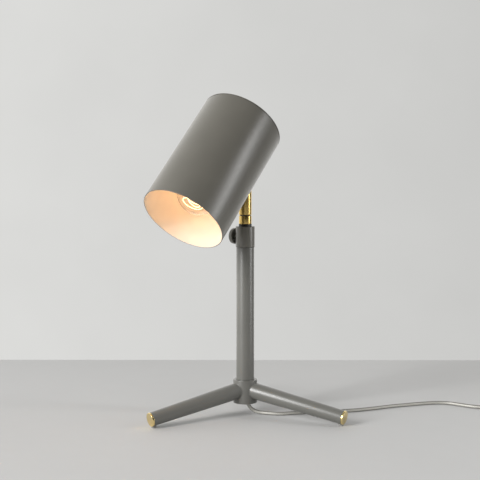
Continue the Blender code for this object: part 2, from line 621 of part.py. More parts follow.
def make_lampholder(head):
    place = shade_place()
    back = BRACKET_PLATE - TOUCH
    floor = 13.5 * MM
    profile = [(1.8 * MM, back), (14.0 * MM, back), (15.5 * MM, back - 1.5 * MM), (15.5 * MM, 10.0 * MM),
               (17.5 * MM, 7.0 * MM), (17.5 * MM, -16.0 * MM), (16.5 * MM, -17.0 * MM), (14.3 * MM, -17.0 * MM),
               (14.3 * MM, floor), (3.4 * MM, floor), (3.4 * MM, floor + 4.0 * MM), (1.8 * MM, floor + 4.0 * MM)]
    turned("lampholder_body", profile, MEDIUM, "porcelain", head, place, hollow=True)
    turned("lampholder_shell", tube_profile(14.0 * MM, 13.5 * MM, -15.0 * MM, 11.0 * MM), MEDIUM, "brass", head, place,
           hollow=True)
    turned("lampholder_contact", rod_profile(3.0 * MM, 12.6 * MM, 16.9 * MM), TINY, "brass", head, place)
    screw = [(0.0, BRACKET_PLATE + 4.2 * MM), (2.2 * MM, BRACKET_PLATE + 4.0 * MM),
             (3.2 * MM, BRACKET_PLATE + 2.8 * MM), (3.2 * MM, BRACKET_PLATE + 1.8 * MM),
             (1.5 * MM, BRACKET_PLATE + 1.8 * MM), (1.5 * MM, 18.0 * MM), (0.0, 18.0 * MM)]
    turned("bracket_screw", screw, TINY, "steel", head, place)
    route = [Vector(p) * MM for p in ((23.3, 0, 0), (27, 0, 0.5), (33, 0, 4.5), (41, 0, 13.5), (47, 0, 18.4),
                                      (53.9, 0, 20))]
    wire("lampholder_lead", smooth_path(route, 5.0 * MM), 1.8 * MM, "clear_cord", head)


def bulb_outline(offset):
    """The bulb's outside from tip to neck, moved in by the offset; the neck meets the globe tangentially."""
    centre = BULB_TIP + BULB_RADIUS
    neck, neck_low = 12.2 * MM, -23.0 * MM
    blend = 22.0 * MM
    join = math.degrees(math.acos((neck + blend) / (BULB_RADIUS + blend)))
    flare = (neck + blend, centre + math.sin(math.radians(join)) * (BULB_RADIUS + blend))
    globe = arc((0.0, centre), BULB_RADIUS - offset, -90, join, 8)
    side = arc(flare, blend + offset, 180 + join, 180, 3)
    straight = [(neck - offset, max(neck_low, flare[1]) + 6.0 * MM), (neck - offset, -10.0 * MM)]
    return globe + side[1:] + straight


def make_bulb(head):
    place = shade_place()
    thick = 0.8 * MM
    outer = bulb_outline(0.0)
    inner = bulb_outline(thick)
    profile = [(max(r, 0.0), z) for r, z in inner] + [(max(r, 0.0), z) for r, z in reversed(outer)]
    profile[0] = (0.0, profile[0][1])
    profile[-1] = (0.0, profile[-1][1])
    turned("bulb_glass", profile, MEDIUM, "clear_glass", head, place)
    make_bulb_cap(head, place)
    make_bulb_mount(head, place)


def make_bulb_cap(head, place):
    ridges, pitch, low, high = 5, 3.6 * MM, -15.0 * MM, 8.5 * MM
    crest, root, inner = 13.1 * MM, 12.8 * MM, 12.5 * MM
    outer = [(root, high)]
    for i in range(ridges):
        top = high - 1.5 * MM - i * pitch
        outer += [(root, top), (crest, top - pitch / 2.0)]
    outer += [(root, top - pitch), (root, low)]
    turned("bulb_cap", outer + [(inner, low), (inner, high)], MEDIUM, "brass", head, place, hollow=True)
    insulator = [(0.0, high + 2.2 * MM), (5.0 * MM, high + 2.2 * MM), (root - 0.6 * MM, high + TOUCH),
                 (root - 0.6 * MM, high), (inner - TOUCH, high), (inner - TOUCH, high - 2.0 * MM),
                 (0.0, high - 2.0 * MM)]
    turned("bulb_insulator", insulator, MEDIUM, "black_plastic", head, place)
    turned("bulb_contact", rod_profile(4.5 * MM, high + 2.5 * MM, high + 3.7 * MM, 0.3 * MM), SMALL, "brass", head,
           place)


def make_bulb_mount(head, place):
    """The glass stem inside the bulb, its two lead wires and the filament between them."""
    profile = [(0.0, 3.0 * MM), (4.0 * MM, 3.0 * MM), (4.0 * MM, -6.0 * MM), (9.5 * MM, -9.0 * MM),
               (9.5 * MM, -10.0 * MM), (4.0 * MM, -14.0 * MM), (3.0 * MM, -30.0 * MM), (3.4 * MM, -36.0 * MM),
               (2.0 * MM, -38.0 * MM), (0.0, -38.0 * MM)]
    turned("bulb_mount", profile, TINY, "clear_glass", head, place)
    bulb = empty("bulb_axis", head, (SHADE_AXIS, 0.0, 0.0))
    for name, side in (("front", -1), ("rear", 1)):
        route = [Vector((0.0, side * y * MM, z * MM)) for y, z in ((1.3, -38.4), (3.0, -46.0), (9.0, -60.0))]
        wire("bulb_lead_" + name, route, 0.4 * MM, "steel", bulb, 1)
    wire("bulb_filament", filament_path(), 0.5 * MM, "filament", bulb, 1)


def filament_path(steps=18):
    """A wide spiral down round the bulb's axis and a narrow one back up inside it, from lead to lead."""
    points = []
    for i in range(2 * steps + 1):
        turn = 1.25 * i / steps
        down = min(i, 2 * steps - i) / steps
        flare = min(1.0, turn / 0.4, max(0.0, (1.7 - turn) / 0.45))
        radius = FILAMENT_NARROW + (FILAMENT_WIDE - FILAMENT_NARROW) * flare
        angle = (2.0 * turn - 0.5) * math.pi
        points.append(Vector((radius * math.cos(angle), radius * math.sin(angle), FILAMENT_TOP - FILAMENT_DROP * down)))
    return points


# --- Cord, switch and plug --------------------------------------------------------------------------------

def in_metres(points):
    return [Vector(p) * MM for p in points]


def make_cord(stand):
    spacing = 9.0 * MM
    wire("power_cord", smooth_path(in_metres(CORD_TO_SWITCH), spacing), CORD_RADIUS, "clear_cord", stand)
    wire("cord_switch_to_coil", smooth_path(in_metres(CORD_TO_COIL), 8.0 * MM), CORD_RADIUS, "clear_cord", stand)
    edge = 2.0 * MM
    profile = [(COIL_INNER + edge, COIL_HEIGHT), (COIL_OUTER - edge, COIL_HEIGHT), (COIL_OUTER, COIL_HEIGHT - edge),
               (COIL_OUTER, edge), (COIL_OUTER - edge, 0.0), (COIL_INNER + edge, 0.0), (COIL_INNER, edge),
               (COIL_INNER, COIL_HEIGHT - edge)]
    turned("cord_coil", profile, FINE, "clear_cord", stand, Matrix.Translation(COIL_CENTRE), hollow=True)
    wire("cord_coil_to_plug", smooth_path(in_metres(CORD_TO_PLUG), 8.0 * MM), CORD_RADIUS, "clear_cord", stand)


def switch_matrix():
    return Matrix.Translation(SWITCH_CENTRE) @ Matrix.Rotation(SWITCH_HEADING, 4, "Z")


def make_switch(stand, rocker_frame):
    outline = rounded_outline(SWITCH_LENGTH, SWITCH_WIDTH, 9.0 * MM)
    frame = switch_matrix()
    base = plate("switch_base", outline, 0.0, SWITCH_SPLIT, "black_plastic", stand, frame)
    cover = plate("switch_cover", outline, SWITCH_SPLIT + TOUCH, SWITCH_TOP, "black_plastic", stand, frame)
    window = box_cutter("rocker_window", (-9.0 * MM, -5.0 * MM, 3.0 * MM), (9.0 * MM, 5.0 * MM, 20.0 * MM), stand,
                        frame)
    combine(base, window)
    combine(cover, window)
    half, wide, low, high = 8.0 * MM, 4.6 * MM, -5.0 * MM, 5.6 * MM
    outline = [(-half, high), (0.0, high - 1.4 * MM), (half, high), (half - 1.0 * MM, 0.0), (3.0 * MM, low),
               (-3.0 * MM, low), (-half + 1.0 * MM, 0.0)]
    across = frame_along(Vector((0.0, 0.0, 0.0)), Vector((0.0, 1.0, 0.0)), Vector((1.0, 0.0, 0.0)))
    plate("switch_rocker", [(x, -z) for x, z in outline], -wide, wide, "black_plastic", rocker_frame, across)


def make_plug(stand):
    end = Vector(CORD_TO_PLUG[-1]) * MM
    out = Vector((math.cos(PLUG_HEADING), math.sin(PLUG_HEADING), 0.0))
    frame = Matrix.Translation(Vector((end.x, end.y, 0.0)) + out * TOUCH) @ Matrix.Rotation(PLUG_HEADING, 4, "Z")
    width, height = 22.0 * MM, 14.0 * MM
    outline = [(0.0, -3.6 * MM), (10.0 * MM, -4.4 * MM), (13.0 * MM, -9.0 * MM), (17.0 * MM, -width / 2),
               (PLUG_LENGTH, -width / 2), (PLUG_LENGTH, width / 2), (17.0 * MM, width / 2),
               (13.0 * MM, 9.0 * MM), (10.0 * MM, 4.4 * MM), (0.0, 3.6 * MM)]
    plate("plug_body", outline, 0.0, height, "black_plastic", stand, frame)
    for name, side in (("left", 1), ("right", -1)):
        y = side * 6.35 * MM
        blade = box_mesh("plug_blade_" + name, (PLUG_LENGTH + TOUCH, y - 0.75 * MM, height / 2 - 3.2 * MM),
                         (PLUG_LENGTH + 17.0 * MM, y + 0.75 * MM, height / 2 + 3.2 * MM))
        add_mesh("plug_blade_" + name, blade, "brass", stand, frame)


# --- Assembly ---------------------------------------------------------------------------------------------

def build():
    stand = empty("stand", None, (0.0, 0.0, 0.0))
    make_hub(stand)
    make_hub_cover(stand)
    make_strain_relief(stand)
    for side in LEG_HEADINGS:
        make_leg(side, stand)
    make_stem(stand)
    make_collar(stand)
    along = knob_frame()
    screw = empty("clamp_screw_axis", stand, along.to_translation(), along.to_euler())
    knob = empty("clamp_knob_axis", screw, (0.0, 0.0, 0.0))
    make_thumb_screw(screw, knob)
    mast = empty("mast_axis", stand, (0.0, 0.0, 0.0))
    make_mast(mast)
    neck = empty("swivel_axis", mast, (0.0, 0.0, 0.0), (0.0, 0.0, SWIVEL_HEADING))
    make_neck(neck)
    lean = -(math.pi / 2 - SHADE_ELEVATION)
    head = empty("tilt_axis", neck, (0.0, 0.0, PIVOT_HEIGHT), (0.0, lean, 0.0))
    make_shade_knuckle(head)
    make_shade(head)
    make_socket_bracket(head)
    make_lampholder(head)
    make_bulb(head)
    make_cord(stand)
    rocker = empty("rocker_axis", stand, SWITCH_CENTRE + Vector((0.0, 0.0, ROCKER_HEIGHT)),
                   (0.0, ROCKER_TILT, SWITCH_HEADING))
    make_switch(stand, rocker)
    make_plug(stand)


build()
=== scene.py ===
"""Looks of a tripod table lamp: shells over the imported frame, finishes, the cord, the stage and the light."""
import math

import bmesh
import bpy
from mathutils import Matrix, Vector


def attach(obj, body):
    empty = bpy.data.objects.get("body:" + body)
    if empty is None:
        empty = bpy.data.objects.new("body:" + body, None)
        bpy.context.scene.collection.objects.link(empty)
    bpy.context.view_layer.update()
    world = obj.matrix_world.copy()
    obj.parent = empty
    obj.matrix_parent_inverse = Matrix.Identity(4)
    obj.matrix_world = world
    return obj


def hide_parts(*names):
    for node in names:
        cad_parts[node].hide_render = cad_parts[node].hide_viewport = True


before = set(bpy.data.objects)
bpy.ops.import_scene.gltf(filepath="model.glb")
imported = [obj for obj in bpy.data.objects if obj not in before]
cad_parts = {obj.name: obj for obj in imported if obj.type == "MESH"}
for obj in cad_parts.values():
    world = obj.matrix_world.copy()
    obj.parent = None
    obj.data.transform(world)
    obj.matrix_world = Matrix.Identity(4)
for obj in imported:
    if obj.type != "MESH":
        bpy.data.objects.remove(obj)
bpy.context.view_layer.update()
MM = 0.001
TAU = 2.0 * math.pi
WHOLE = Matrix.Identity(4)  # the object's own frame
CREASE = 32.0  # degrees between faces that meet in a crisp edge


# --- Camera -----------------------------------------------------------------------------------------------

CAMERA_PLACE = (0.0, -1.5, 0.36)
CAMERA_LENS = 79.7
CAMERA_SENSOR = 36.0
CAMERA_DROP = math.radians(4.2027)  # how far it looks down
CAMERA_TURN = math.radians(0.283)  # to the left

camera_data = bpy.data.cameras.new("camera")
camera_data.lens = CAMERA_LENS
camera_data.sensor_width = CAMERA_SENSOR
camera_data.clip_start = 0.05
camera_data.clip_end = 50.0
camera = bpy.data.objects.new("camera", camera_data)
bpy.context.scene.collection.objects.link(camera)
camera.location = CAMERA_PLACE
camera.rotation_euler = (math.pi / 2.0 - CAMERA_DROP, 0.0, CAMERA_TURN)
bpy.context.scene.camera = camera


# --- Mesh helpers -----------------------------------------------------------------------------------------

def in_metres(points):
    """Points given in millimetres, as vectors in metres."""
    return [Vector(p) * MM for p in points]


def from_mm(points):
    """Outline points given in millimetres, with their corner radii, in metres."""
    return [tuple(v * MM for v in p) for p in points]


def add_object(name, data):
    obj = bpy.data.objects.new(name, data)
    bpy.context.scene.collection.objects.link(obj)
    return obj


def finish_mesh(name, bm, matrix, sharp=CREASE):
    """Turns a bmesh into an object with smooth faces and crisp creases."""
    bmesh.ops.recalc_face_normals(bm, faces=bm.faces)
    mesh = bpy.data.meshes.new(name)
    bm.to_mesh(mesh)
    bm.free()
    mesh.transform(matrix)
    mesh.shade_smooth()
    mesh.set_sharp_from_angle(angle=math.radians(sharp))
    return add_object(name, mesh)


def dress(obj, body, slot, nodes=(), *materials):
    """Puts a piece on its body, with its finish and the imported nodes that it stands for."""
    for one in materials:
        obj.data.materials.append(one)
    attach(obj, body)
    if nodes:
        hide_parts(*nodes)
    return obj


def fillet(points, closed=False, step=15.0):
    """Rounds the corners of an outline whose points may carry a third number, the corner's radius."""
    out = []
    count = len(points)
    for i, point in enumerate(points):
        here = Vector(point[:2])
        radius = point[2] if len(point) > 2 else 0.0
        if not radius or (not closed and i in (0, count - 1)):
            out.append(here)
            continue
        before = (Vector(points[i - 1][:2]) - here).normalized()
        after = (Vector(points[(i + 1) % count][:2]) - here).normalized()
        half = before.angle(after) / 2.0
        reach = radius / math.tan(half)
        centre = here + (before + after).normalized() * radius / math.sin(half)
        start = here + before * reach - centre
        end = here + after * reach - centre
        turn = start.angle_signed(end)
        steps = max(2, round(abs(math.degrees(turn)) / step))
        for k in range(steps + 1):
            angle = -turn * k / steps
            out.append(centre + Matrix.Rotation(angle, 2) @ start)
    return [(p.x, p.y) for p in out]


def lathe(name, outline, matrix=WHOLE, steps=96, closed=False, inside=None):
    """An outline of (radius, height) turned about Z. inside(radius, height) picks the second finish.

    The UV map has U once round and V in metres along the outline.
    """
    outline = fillet(outline, closed)
    run = [0.0]
    for a, b in zip(outline, outline[1:] + outline[:1]):
        run.append(run[-1] + math.dist(a, b))
    bm = bmesh.new()
    uv = bm.loops.layers.uv.new("turned")
    rings = []
    for radius, height in outline:
        if radius < 1e-7:
            rings.append([bm.verts.new((0.0, 0.0, height))])
            continue
        ring = []
        for k in range(steps):
            angle = TAU * k / steps
            ring.append(bm.verts.new((radius * math.cos(angle), radius * math.sin(angle), height)))
        rings.append(ring)
    pairs = list(zip(rings, rings[1:], outline, outline[1:], run, run[1:]))
    if closed:
        pairs.append((rings[-1], rings[0], outline[-1], outline[0], run[-2], run[-1]))
    for low, high, a, b, near, far in pairs:
        second = inside is not None and inside((a[0] + b[0]) / 2.0, (a[1] + b[1]) / 2.0)
        for k in range(steps):
            n = (k + 1) % steps
            corners = {low[k % len(low)]: (k, near), low[n % len(low)]: (k + 1, near),
                       high[n % len(high)]: (k + 1, far), high[k % len(high)]: (k, far)}
            if len(corners) > 2:
                face = bm.faces.new(corners)
                face.material_index = int(second)
                for loop in face.loops:
                    turn, along = corners[loop.vert]
                    loop[uv].uv = (turn / steps, along)
    return finish_mesh(name, bm, matrix)


def rounded_outline(length, width, corner):
    """A rectangle whose corners carry their radius."""
    corners = ((1, 1), (-1, 1), (-1, -1), (1, -1))
    return [(sx * length / 2.0, sy * width / 2.0, corner) for sx, sy in corners]


def slab(name, outline, low, high, edge, matrix=WHOLE, holes=()):
    """A flat outline raised from low to high, its edges rounded. holes are outlines cut through it."""
    bm = bmesh.new()
    for loop in (outline, *holes):
        corners = [bm.verts.new((x, y, low)) for x, y in fillet(loop, closed=True)]
        for a, b in zip(corners, corners[1:] + corners[:1]):
            bm.edges.new((a, b))
    bmesh.ops.triangle_fill(bm, use_beauty=True, edges=bm.edges[:])
    if not holes:
        bmesh.ops.dissolve_limit(bm, angle_limit=0.01, verts=bm.verts[:], edges=bm.edges[:])
    raised = bmesh.ops.extrude_face_region(bm, geom=bm.faces[:])
    moved = [g for g in raised["geom"] if isinstance(g, bmesh.types.BMVert)]
    bmesh.ops.translate(bm, vec=(0.0, 0.0, high - low), verts=moved)
    bmesh.ops.recalc_face_normals(bm, faces=bm.faces)
    rims = [e for e in bm.edges if len(e.link_faces) == 2 and e.calc_face_angle(0.0) > 0.9
            and abs(e.verts[0].co.z - e.verts[1].co.z) < 1e-7]
    bmesh.ops.bevel(bm, geom=rims, offset=edge, segments=3, profile=0.5, affect="EDGES", clamp_overlap=True)
    return finish_mesh(name, bm, matrix)


def frame_along(origin, direction, side=Vector((0.0, 0.0, 1.0))):
    """A matrix whose Z axis runs along the direction."""
    z_axis = Vector(direction).normalized()
    x_axis = side - z_axis * side.dot(z_axis)
    if x_axis.length < 1e-6:
        x_axis = Vector((1.0, 0.0, 0.0))
    x_axis.normalize()
    rotation = Matrix((x_axis, z_axis.cross(x_axis), z_axis)).transposed().to_4x4()
    return Matrix.Translation(origin) @ rotation


def smooth_path(points, spacing):
    """Points about one spacing apart on a Catmull-Rom curve through the given ones."""
    knots = [Vector(p) for p in points]
    ends = [knots[0] * 2 - knots[1]] + knots + [knots[-1] * 2 - knots[-2]]
    fine = []
    for before, start, end, after in zip(ends, ends[1:], ends[2:], ends[3:]):
        for i in range(24):
            t = i / 24.0
            fine.append(0.5 * (2 * start + (end - before) * t
                               + (2 * before - 5 * start + 4 * end - after) * t * t
                               + (3 * start - before - 3 * end + after) * t ** 3))
    fine.append(knots[-1])
    return spaced(fine, spacing)


def path_length(points):
    return sum((b - a).length for a, b in zip(points, points[1:]))


def spaced(fine, spacing):
    """The same line with its points evenly apart."""
    count = max(2, round(path_length(fine) / spacing))
    step = path_length(fine) / count
    out, need, here = [fine[0]], step, fine[0]
    for point in fine[1:]:
        while (point - here).length >= need and len(out) < count:
            here = here + (point - here).normalized() * need
            out.append(here)
            need = step
        need -= (point - here).length
        here = point
    return out + [fine[-1]]


def round_ring(bm, centre, first, second, radius, sides):
    """A ring of vertices round the centre, in the plane of two directions at a right angle."""
    ring = []
    for k in range(sides):
        angle = TAU * k / sides
        ring.append(bm.verts.new(centre + (first * math.cos(angle) + second * math.sin(angle)) * radius))
    return ring


def bridge(bm, ring, after):
    """Faces between two closed rings with as many vertices as each other."""
    for k in range(len(ring)):
        n = (k + 1) % len(ring)
        bm.faces.new((ring[k], ring[n], after[n], after[k]))


def tube(name, path, radius, sides=16, matrix=WHOLE):
    """A round tube along the path with a UV map: U once round it, V in metres along it."""
    bm = bmesh.new()
    uv = bm.loops.layers.uv.new("along")
    normal = Vector((0.0, 0.0, 1.0))
    rings, distance, distances = [], 0.0, []
    for i, point in enumerate(path):
        ahead = (path[min(i + 1, len(path) - 1)] - path[max(i - 1, 0)]).normalized()
        normal = (normal - ahead * normal.dot(ahead)).normalized()
        across = ahead.cross(normal)
        rings.append(round_ring(bm, point, normal, across, radius, sides))
        distances.append(distance)
        if i + 1 < len(path):
            distance += (path[i + 1] - point).length
    for i, (low, high) in enumerate(zip(rings, rings[1:])):
        for k in range(sides):
            n = (k + 1) % sides
            face = bm.faces.new((low[k], low[n], high[n], high[k]))
            for loop, u, v in zip(face.loops, (k, k + 1, k + 1, k), (i, i, i + 1, i + 1)):
                loop[uv].uv = (u / sides, distances[v])
    for ring in (rings[0], rings[-1]):
        bm.faces.new(ring)
    return finish_mesh(name, bm, matrix, 50.0)


def ring_tube(name, loop, radius, sides=10):
    """A closed round bead along a loop of points."""
    bm = bmesh.new()
    rings = []
    count = len(loop)
    middle = sum(loop, Vector()) / count
    for i, point in enumerate(loop):
        ahead = (loop[(i + 1) % count] - loop[i - 1]).normalized()
        out = point - middle
        out = (out - ahead * out.dot(ahead)).normalized()
        rings.append(round_ring(bm, point, out, ahead.cross(out), radius, sides))
    for i, ring in enumerate(rings):
        bridge(bm, ring, rings[(i + 1) % count])
    return finish_mesh(name, bm, WHOLE)


# --- Finishes ---------------------------------------------------------------------------------------------

RINGS_PER_METRE = 9000.0  # turning marks
BRAID_STRANDS = 6.0  # round the cord
BRAID_PER_METRE = 420.0


class Nodes:
    """A short way to write a material's nodes. A value is a number, a colour or another node's output."""

    def __init__(self, name):
        self.material = bpy.data.materials.new(name)
        self.material.use_nodes = True
        self.tree = self.material.node_tree
        self.shader = self.tree.nodes["Principled BSDF"]

    def add(self, kind, values=(), **settings):
        node = self.tree.nodes.new(kind)
        for key, value in settings.items():
            setattr(node, key, value)
        for key, value in dict(values).items():
            self.put(node, key, value)
        return node

    def put(self, node, key, value):
        socket = node.inputs[key]
        if isinstance(value, bpy.types.NodeSocket):
            self.tree.links.new(value, socket)
        else:
            socket.default_value = value

    def surface(self, **values):
        for key, value in values.items():
            self.put(self.shader, key.replace("_", " "), value)

    def noise(self, scale, detail=3.0):
        place = self.add("ShaderNodeTexCoord").outputs["Object"]
        values = {"Vector": place, "Scale": scale, "Detail": detail}
        return self.add("ShaderNodeTexNoise", values).outputs["Fac"]

    def calculate(self, operation, *numbers):
        return self.add("ShaderNodeMath", dict(enumerate(numbers)), operation=operation).outputs["Value"]

    def spread(self, factor, low, high, start=0.3, end=0.7):
        """Maps the factor's range from start to end to the numbers from low to high."""
        values = {"Value": factor, "From Min": start, "From Max": end, "To Min": low, "To Max": high}
        return self.add("ShaderNodeMapRange", values).outputs["Result"]

    def ramp(self, factor, *stops):
        node = self.add("ShaderNodeValToRGB", {"Fac": factor})
        elements = node.color_ramp.elements
        while len(elements) < len(stops):
            elements.new(0.5)
        for element, (position, colour) in zip(elements, stops):
            element.position = position
            element.color = (*colour, 1.0)
        return node.outputs["Color"]

    def bump(self, height, strength, distance, normal=None):
        values = {"Height": height, "Strength": strength, "Distance": distance}
        if normal is not None:
            values["Normal"] = normal
        return self.add("ShaderNodeBump", values).outputs["Normal"]


def shade_of(colour, factor):
    return tuple(c * factor for c in colour)


def paint(name, colour, low, high, gloss=0.5):
    """Sprayed powder coat: a faint orange peel, slow drifts of tone, and fine changes of gloss."""
    n = Nodes(name)
    drift = n.noise(22.0, 2.0)
    peel = n.noise(1500.0, 2.0)
    grain = n.noise(5200.0, 1.0)
    n.surface(Base_Color=n.ramp(drift, (0.3, shade_of(colour, 0.95)), (0.7, shade_of(colour, 1.05))),
              Roughness=n.spread(n.noise(420.0, 4.0), low, high),
              Normal=n.bump(grain, 0.12, 0.00002, n.bump(peel, 0.22, 0.00006)))
    n.shader.inputs["Specular IOR Level"].default_value = gloss
    return n.material


def turned_metal(name, colour, low, high):
    """Metal with slight tarnish, and on lathed pieces fine rings round the axis."""
    n = Nodes(name)
    round_it = n.add("ShaderNodeUVMap", uv_map="turned").outputs["UV"]
    stretch = {"Vector": round_it, "Scale": (3.0, RINGS_PER_METRE, 1.0)}
    stretched = n.add("ShaderNodeMapping", stretch).outputs["Vector"]
    rings = n.add("ShaderNodeTexNoise", {"Vector": stretched, "Scale": 1.0, "Detail": 2.0}).outputs["Fac"]
    tarnish = n.noise(160.0, 4.0)
    n.surface(Base_Color=n.ramp(tarnish, (0.3, shade_of(colour, 0.86)), (0.65, colour)), Metallic=1.0,
              Roughness=n.spread(n.noise(600.0, 3.0), low, high),
              Normal=n.bump(rings, 0.10, 0.00002))
    return n.material


def moulded(name, colour, low, high, peel=0.2):
    """Moulded plastic, rubber or porcelain with a fine grain."""
    n = Nodes(name)
    tone = n.ramp(n.noise(60.0, 3.0), (0.3, shade_of(colour, 0.9)), (0.7, shade_of(colour, 1.1)))
    n.surface(Base_Color=tone, Roughness=n.spread(n.noise(900.0, 3.0), low, high),
              Normal=n.bump(n.noise(2600.0, 3.0), peel, 0.00005))
    return n.material


def clear_glass(name):
    n = Nodes(name)
    n.surface(Base_Color=(1.0, 0.985, 0.95, 1.0), Roughness=n.spread(n.noise(300.0, 2.0), 0.0, 0.03),
              Normal=n.bump(n.noise(45.0, 2.0), 0.08, 0.0004))
    n.shader.inputs["Transmission Weight"].default_value = 1.0
    n.shader.inputs["IOR"].default_value = 1.45
    return n.material


def glowing(name, colour, strength):
    n = Nodes(name)
    glow = n.ramp(n.noise(900.0, 2.0), (0.3, shade_of(colour, 0.9)), (0.7, colour))
    n.surface(Base_Color=(0.3, 0.2, 0.1, 1.0), Emission_Color=glow, Emission_Strength=strength)
    return n.material


def clear_jacket(name):
    """A clear jacket over two braided conductors: a diamond weave under a satin skin, darkened in two bands
    along the tube's top and bottom as painted shade for the jacket's dark edges.
    """
    n = Nodes(name)
    parts = n.add("ShaderNodeSeparateXYZ", {"Vector": n.add("ShaderNodeUVMap", uv_map="along").outputs["UV"]})
    around, along = parts.outputs["X"], parts.outputs["Y"]
    strands = n.calculate("MULTIPLY", around, BRAID_STRANDS)
    weaves = []
    for lean in (BRAID_PER_METRE, -BRAID_PER_METRE):
        both = n.calculate("ADD", strands, n.calculate("MULTIPLY", along, lean))
        weaves.append(n.calculate("SINE", n.calculate("MULTIPLY", both, TAU)))
    braid = n.calculate("MAXIMUM", *weaves)
    # Two dark bands along the tube's top and bottom: painted shade for the dark edges of a clear jacket.
    edge_bands = n.calculate("COSINE", n.calculate("MULTIPLY", around, 2.0 * TAU))
    weave, between = n.spread(braid, 0.45, 1.0, -1.0, 1.0), n.spread(edge_bands, 1.0, 0.15, -0.7, 0.5)
    light = n.calculate("MULTIPLY", weave, between)
    dark, middle, pale = (0.13, 0.125, 0.11), (0.38, 0.37, 0.33), (0.62, 0.61, 0.56)
    n.surface(Base_Color=n.ramp(light, (0.1, dark), (0.5, middle), (1.0, pale)),
              Metallic=0.2, Roughness=0.45, Normal=n.bump(braid, 0.25, 0.0001))
    n.shader.inputs["Coat Weight"].default_value = 0.4
    n.shader.inputs["Coat Roughness"].default_value = 0.3
    return n.material


GREY = (0.134, 0.127, 0.107)
# The stand's paint below is a lighter, more neutral copy of the one powder coat: painted light for the hub,
# legs and stem, which get more light than the shade. The collar and the knob keep the darker shade paint:
# painted shade, under the shade.
LIT_STAND_GREY = (0.150, 0.148, 0.134)
grey_paint = paint("grey_paint", GREY, 0.30, 0.38, 0.75)
lit_stand_paint = paint("lit_stand_paint", LIT_STAND_GREY, 0.30, 0.38, 0.8)
white_paint = paint("white_paint", (0.70, 0.65, 0.57), 0.45, 0.55)
brass = turned_metal("brass", (0.64, 0.45, 0.15), 0.2, 0.28)
bright_brass = turned_metal("bright_brass", (0.93, 0.74, 0.36), 0.12, 0.2)
steel = turned_metal("steel", (0.58, 0.58, 0.59), 0.24, 0.36)
black_plastic = moulded("black_plastic", (0.018, 0.018, 0.018), 0.42, 0.55)
clear_plastic = moulded("clear_plastic", (0.50, 0.49, 0.46), 0.2, 0.3, 0.08)
rubber = moulded("rubber", (0.035, 0.034, 0.032), 0.7, 0.85, 0.4)
grey_rubber = moulded("grey_rubber", (0.30, 0.295, 0.28), 0.7, 0.85, 0.4)
porcelain = moulded("porcelain", (0.84, 0.82, 0.76), 0.12, 0.22, 0.05)
bulb_glass = clear_glass("bulb_glass")
filament = glowing("filament", (1.0, 0.78, 0.42), 4.2)
cord_jacket = clear_jacket("clear_cord")


# --- Cord, switch and plug --------------------------------------------------------------------------------

# The route's points and the sizes without MM are in millimetres.
CORD_RADIUS = 2.5 * MM
CORD_EXIT = Vector((4.6, 1.9, 13.8)) * MM
CORD_TO_SWITCH = [
    (4.9, 1.85, 13.2), (6.1, 1.6, 11.1), (8.7, 1.2, 7.9), (12.2, 0.6, 5.5), (17.5, -0.6, 3.5),
    (24.0, -1.9, 2.65), (33.0, -4.8, 2.5), (44.0, -7.9, 2.5), (55.0, -7.8, 2.5), (69.0, -3.4, 2.5),
    (92.0, 1.8, 2.5), (118.0, 5.0, 2.5), (145.0, 9.8, 2.5), (168.0, 17.0, 2.5), (189.0, 26.5, 2.5),
    (209.0, 36.4, 2.5), (228.0, 44.4, 2.5), (247.0, 51.4, 2.5), (266.0, 57.8, 2.5), (281.0, 61.6, 2.5),
    (294.0, 61.8, 2.5), (306.0, 57.4, 2.5), (318.0, 48.6, 2.5), (330.0, 39.6, 2.5), (344.0, 33.4, 2.55),
    (358.0, 30.4, 3.6), (370.0, 28.6, 5.0),
]
THROUGH_SWITCH = [(384.0, 26.1, 5.0), (398.4, 23.6, 5.0), (412.0, 21.2, 5.0)]
CORD_TO_COIL = [(426.5, 18.4, 5.0), (434.0, 16.6, 3.9), (441.0, 14.4, 2.6)]
CORD_TO_PLUG = [
    (488.9, -28.2, 2.5), (486.3, -42.9, 2.5), (478.9, -55.8, 2.5), (467.5, -65.4, 2.5), (453.4, -70.4, 2.5),
    (444.0, -72.1, 2.5), (434.0, -73.9, 2.6), (424.0, -75.7, 3.4), (414.0, -77.4, 5.2), (406.0, -78.7, 6.7),
    (400.0, -79.7, 7.0),
]
PLUG_HEADING = math.radians(189.5)
COIL_CENTRE = (446.0, -28.2)
COIL_WIDE = 37.5  # middle of the outermost turn
COIL_TURNS = 3  # in each of the two layers
TURN_STEP = 5.0  # turns lie one cord apart
TIE_HEADING = math.radians(200.0)


def smoothstep(t):
    t = min(1.0, max(0.0, t))
    return t * t * (3.0 - 2.0 * t)


def coil_points(per_turn=30):
    """In millimetres: a flat spiral inwards, a second one outwards on top of it, then down to the floor."""
    start = math.atan2(CORD_TO_COIL[-1][1] - COIL_CENTRE[1], CORD_TO_COIL[-1][0] - COIL_CENTRE[0])
    entry = math.dist(CORD_TO_COIL[-1][:2], COIL_CENTRE)
    last = CORD_TO_PLUG[0]
    leave = math.dist(last[:2], COIL_CENTRE)
    down = (start - math.atan2(last[1] - COIL_CENTRE[1], last[0] - COIL_CENTRE[0])) / TAU
    both = 2.0 * COIL_TURNS
    points = []
    for i in range(1, round((both + down) * per_turn)):
        turn = i / per_turn
        radius = COIL_WIDE - TURN_STEP * min(turn, both - turn)
        height = CORD_RADIUS / MM + TURN_STEP * smoothstep((turn - COIL_TURNS + 0.3) / 0.3)
        radius += (entry - COIL_WIDE) * max(0.0, 1.0 - turn / 0.2) ** 2
        if turn > both:
            radius = COIL_WIDE + (leave - COIL_WIDE) * smoothstep((turn - both) / down)
            height -= TURN_STEP * smoothstep((turn - both - 0.08) / (down - 0.08))
        angle = start - TAU * turn
        across, forward = radius * math.cos(angle), radius * math.sin(angle)
        points.append((COIL_CENTRE[0] + across, COIL_CENTRE[1] + forward, height))
    return points


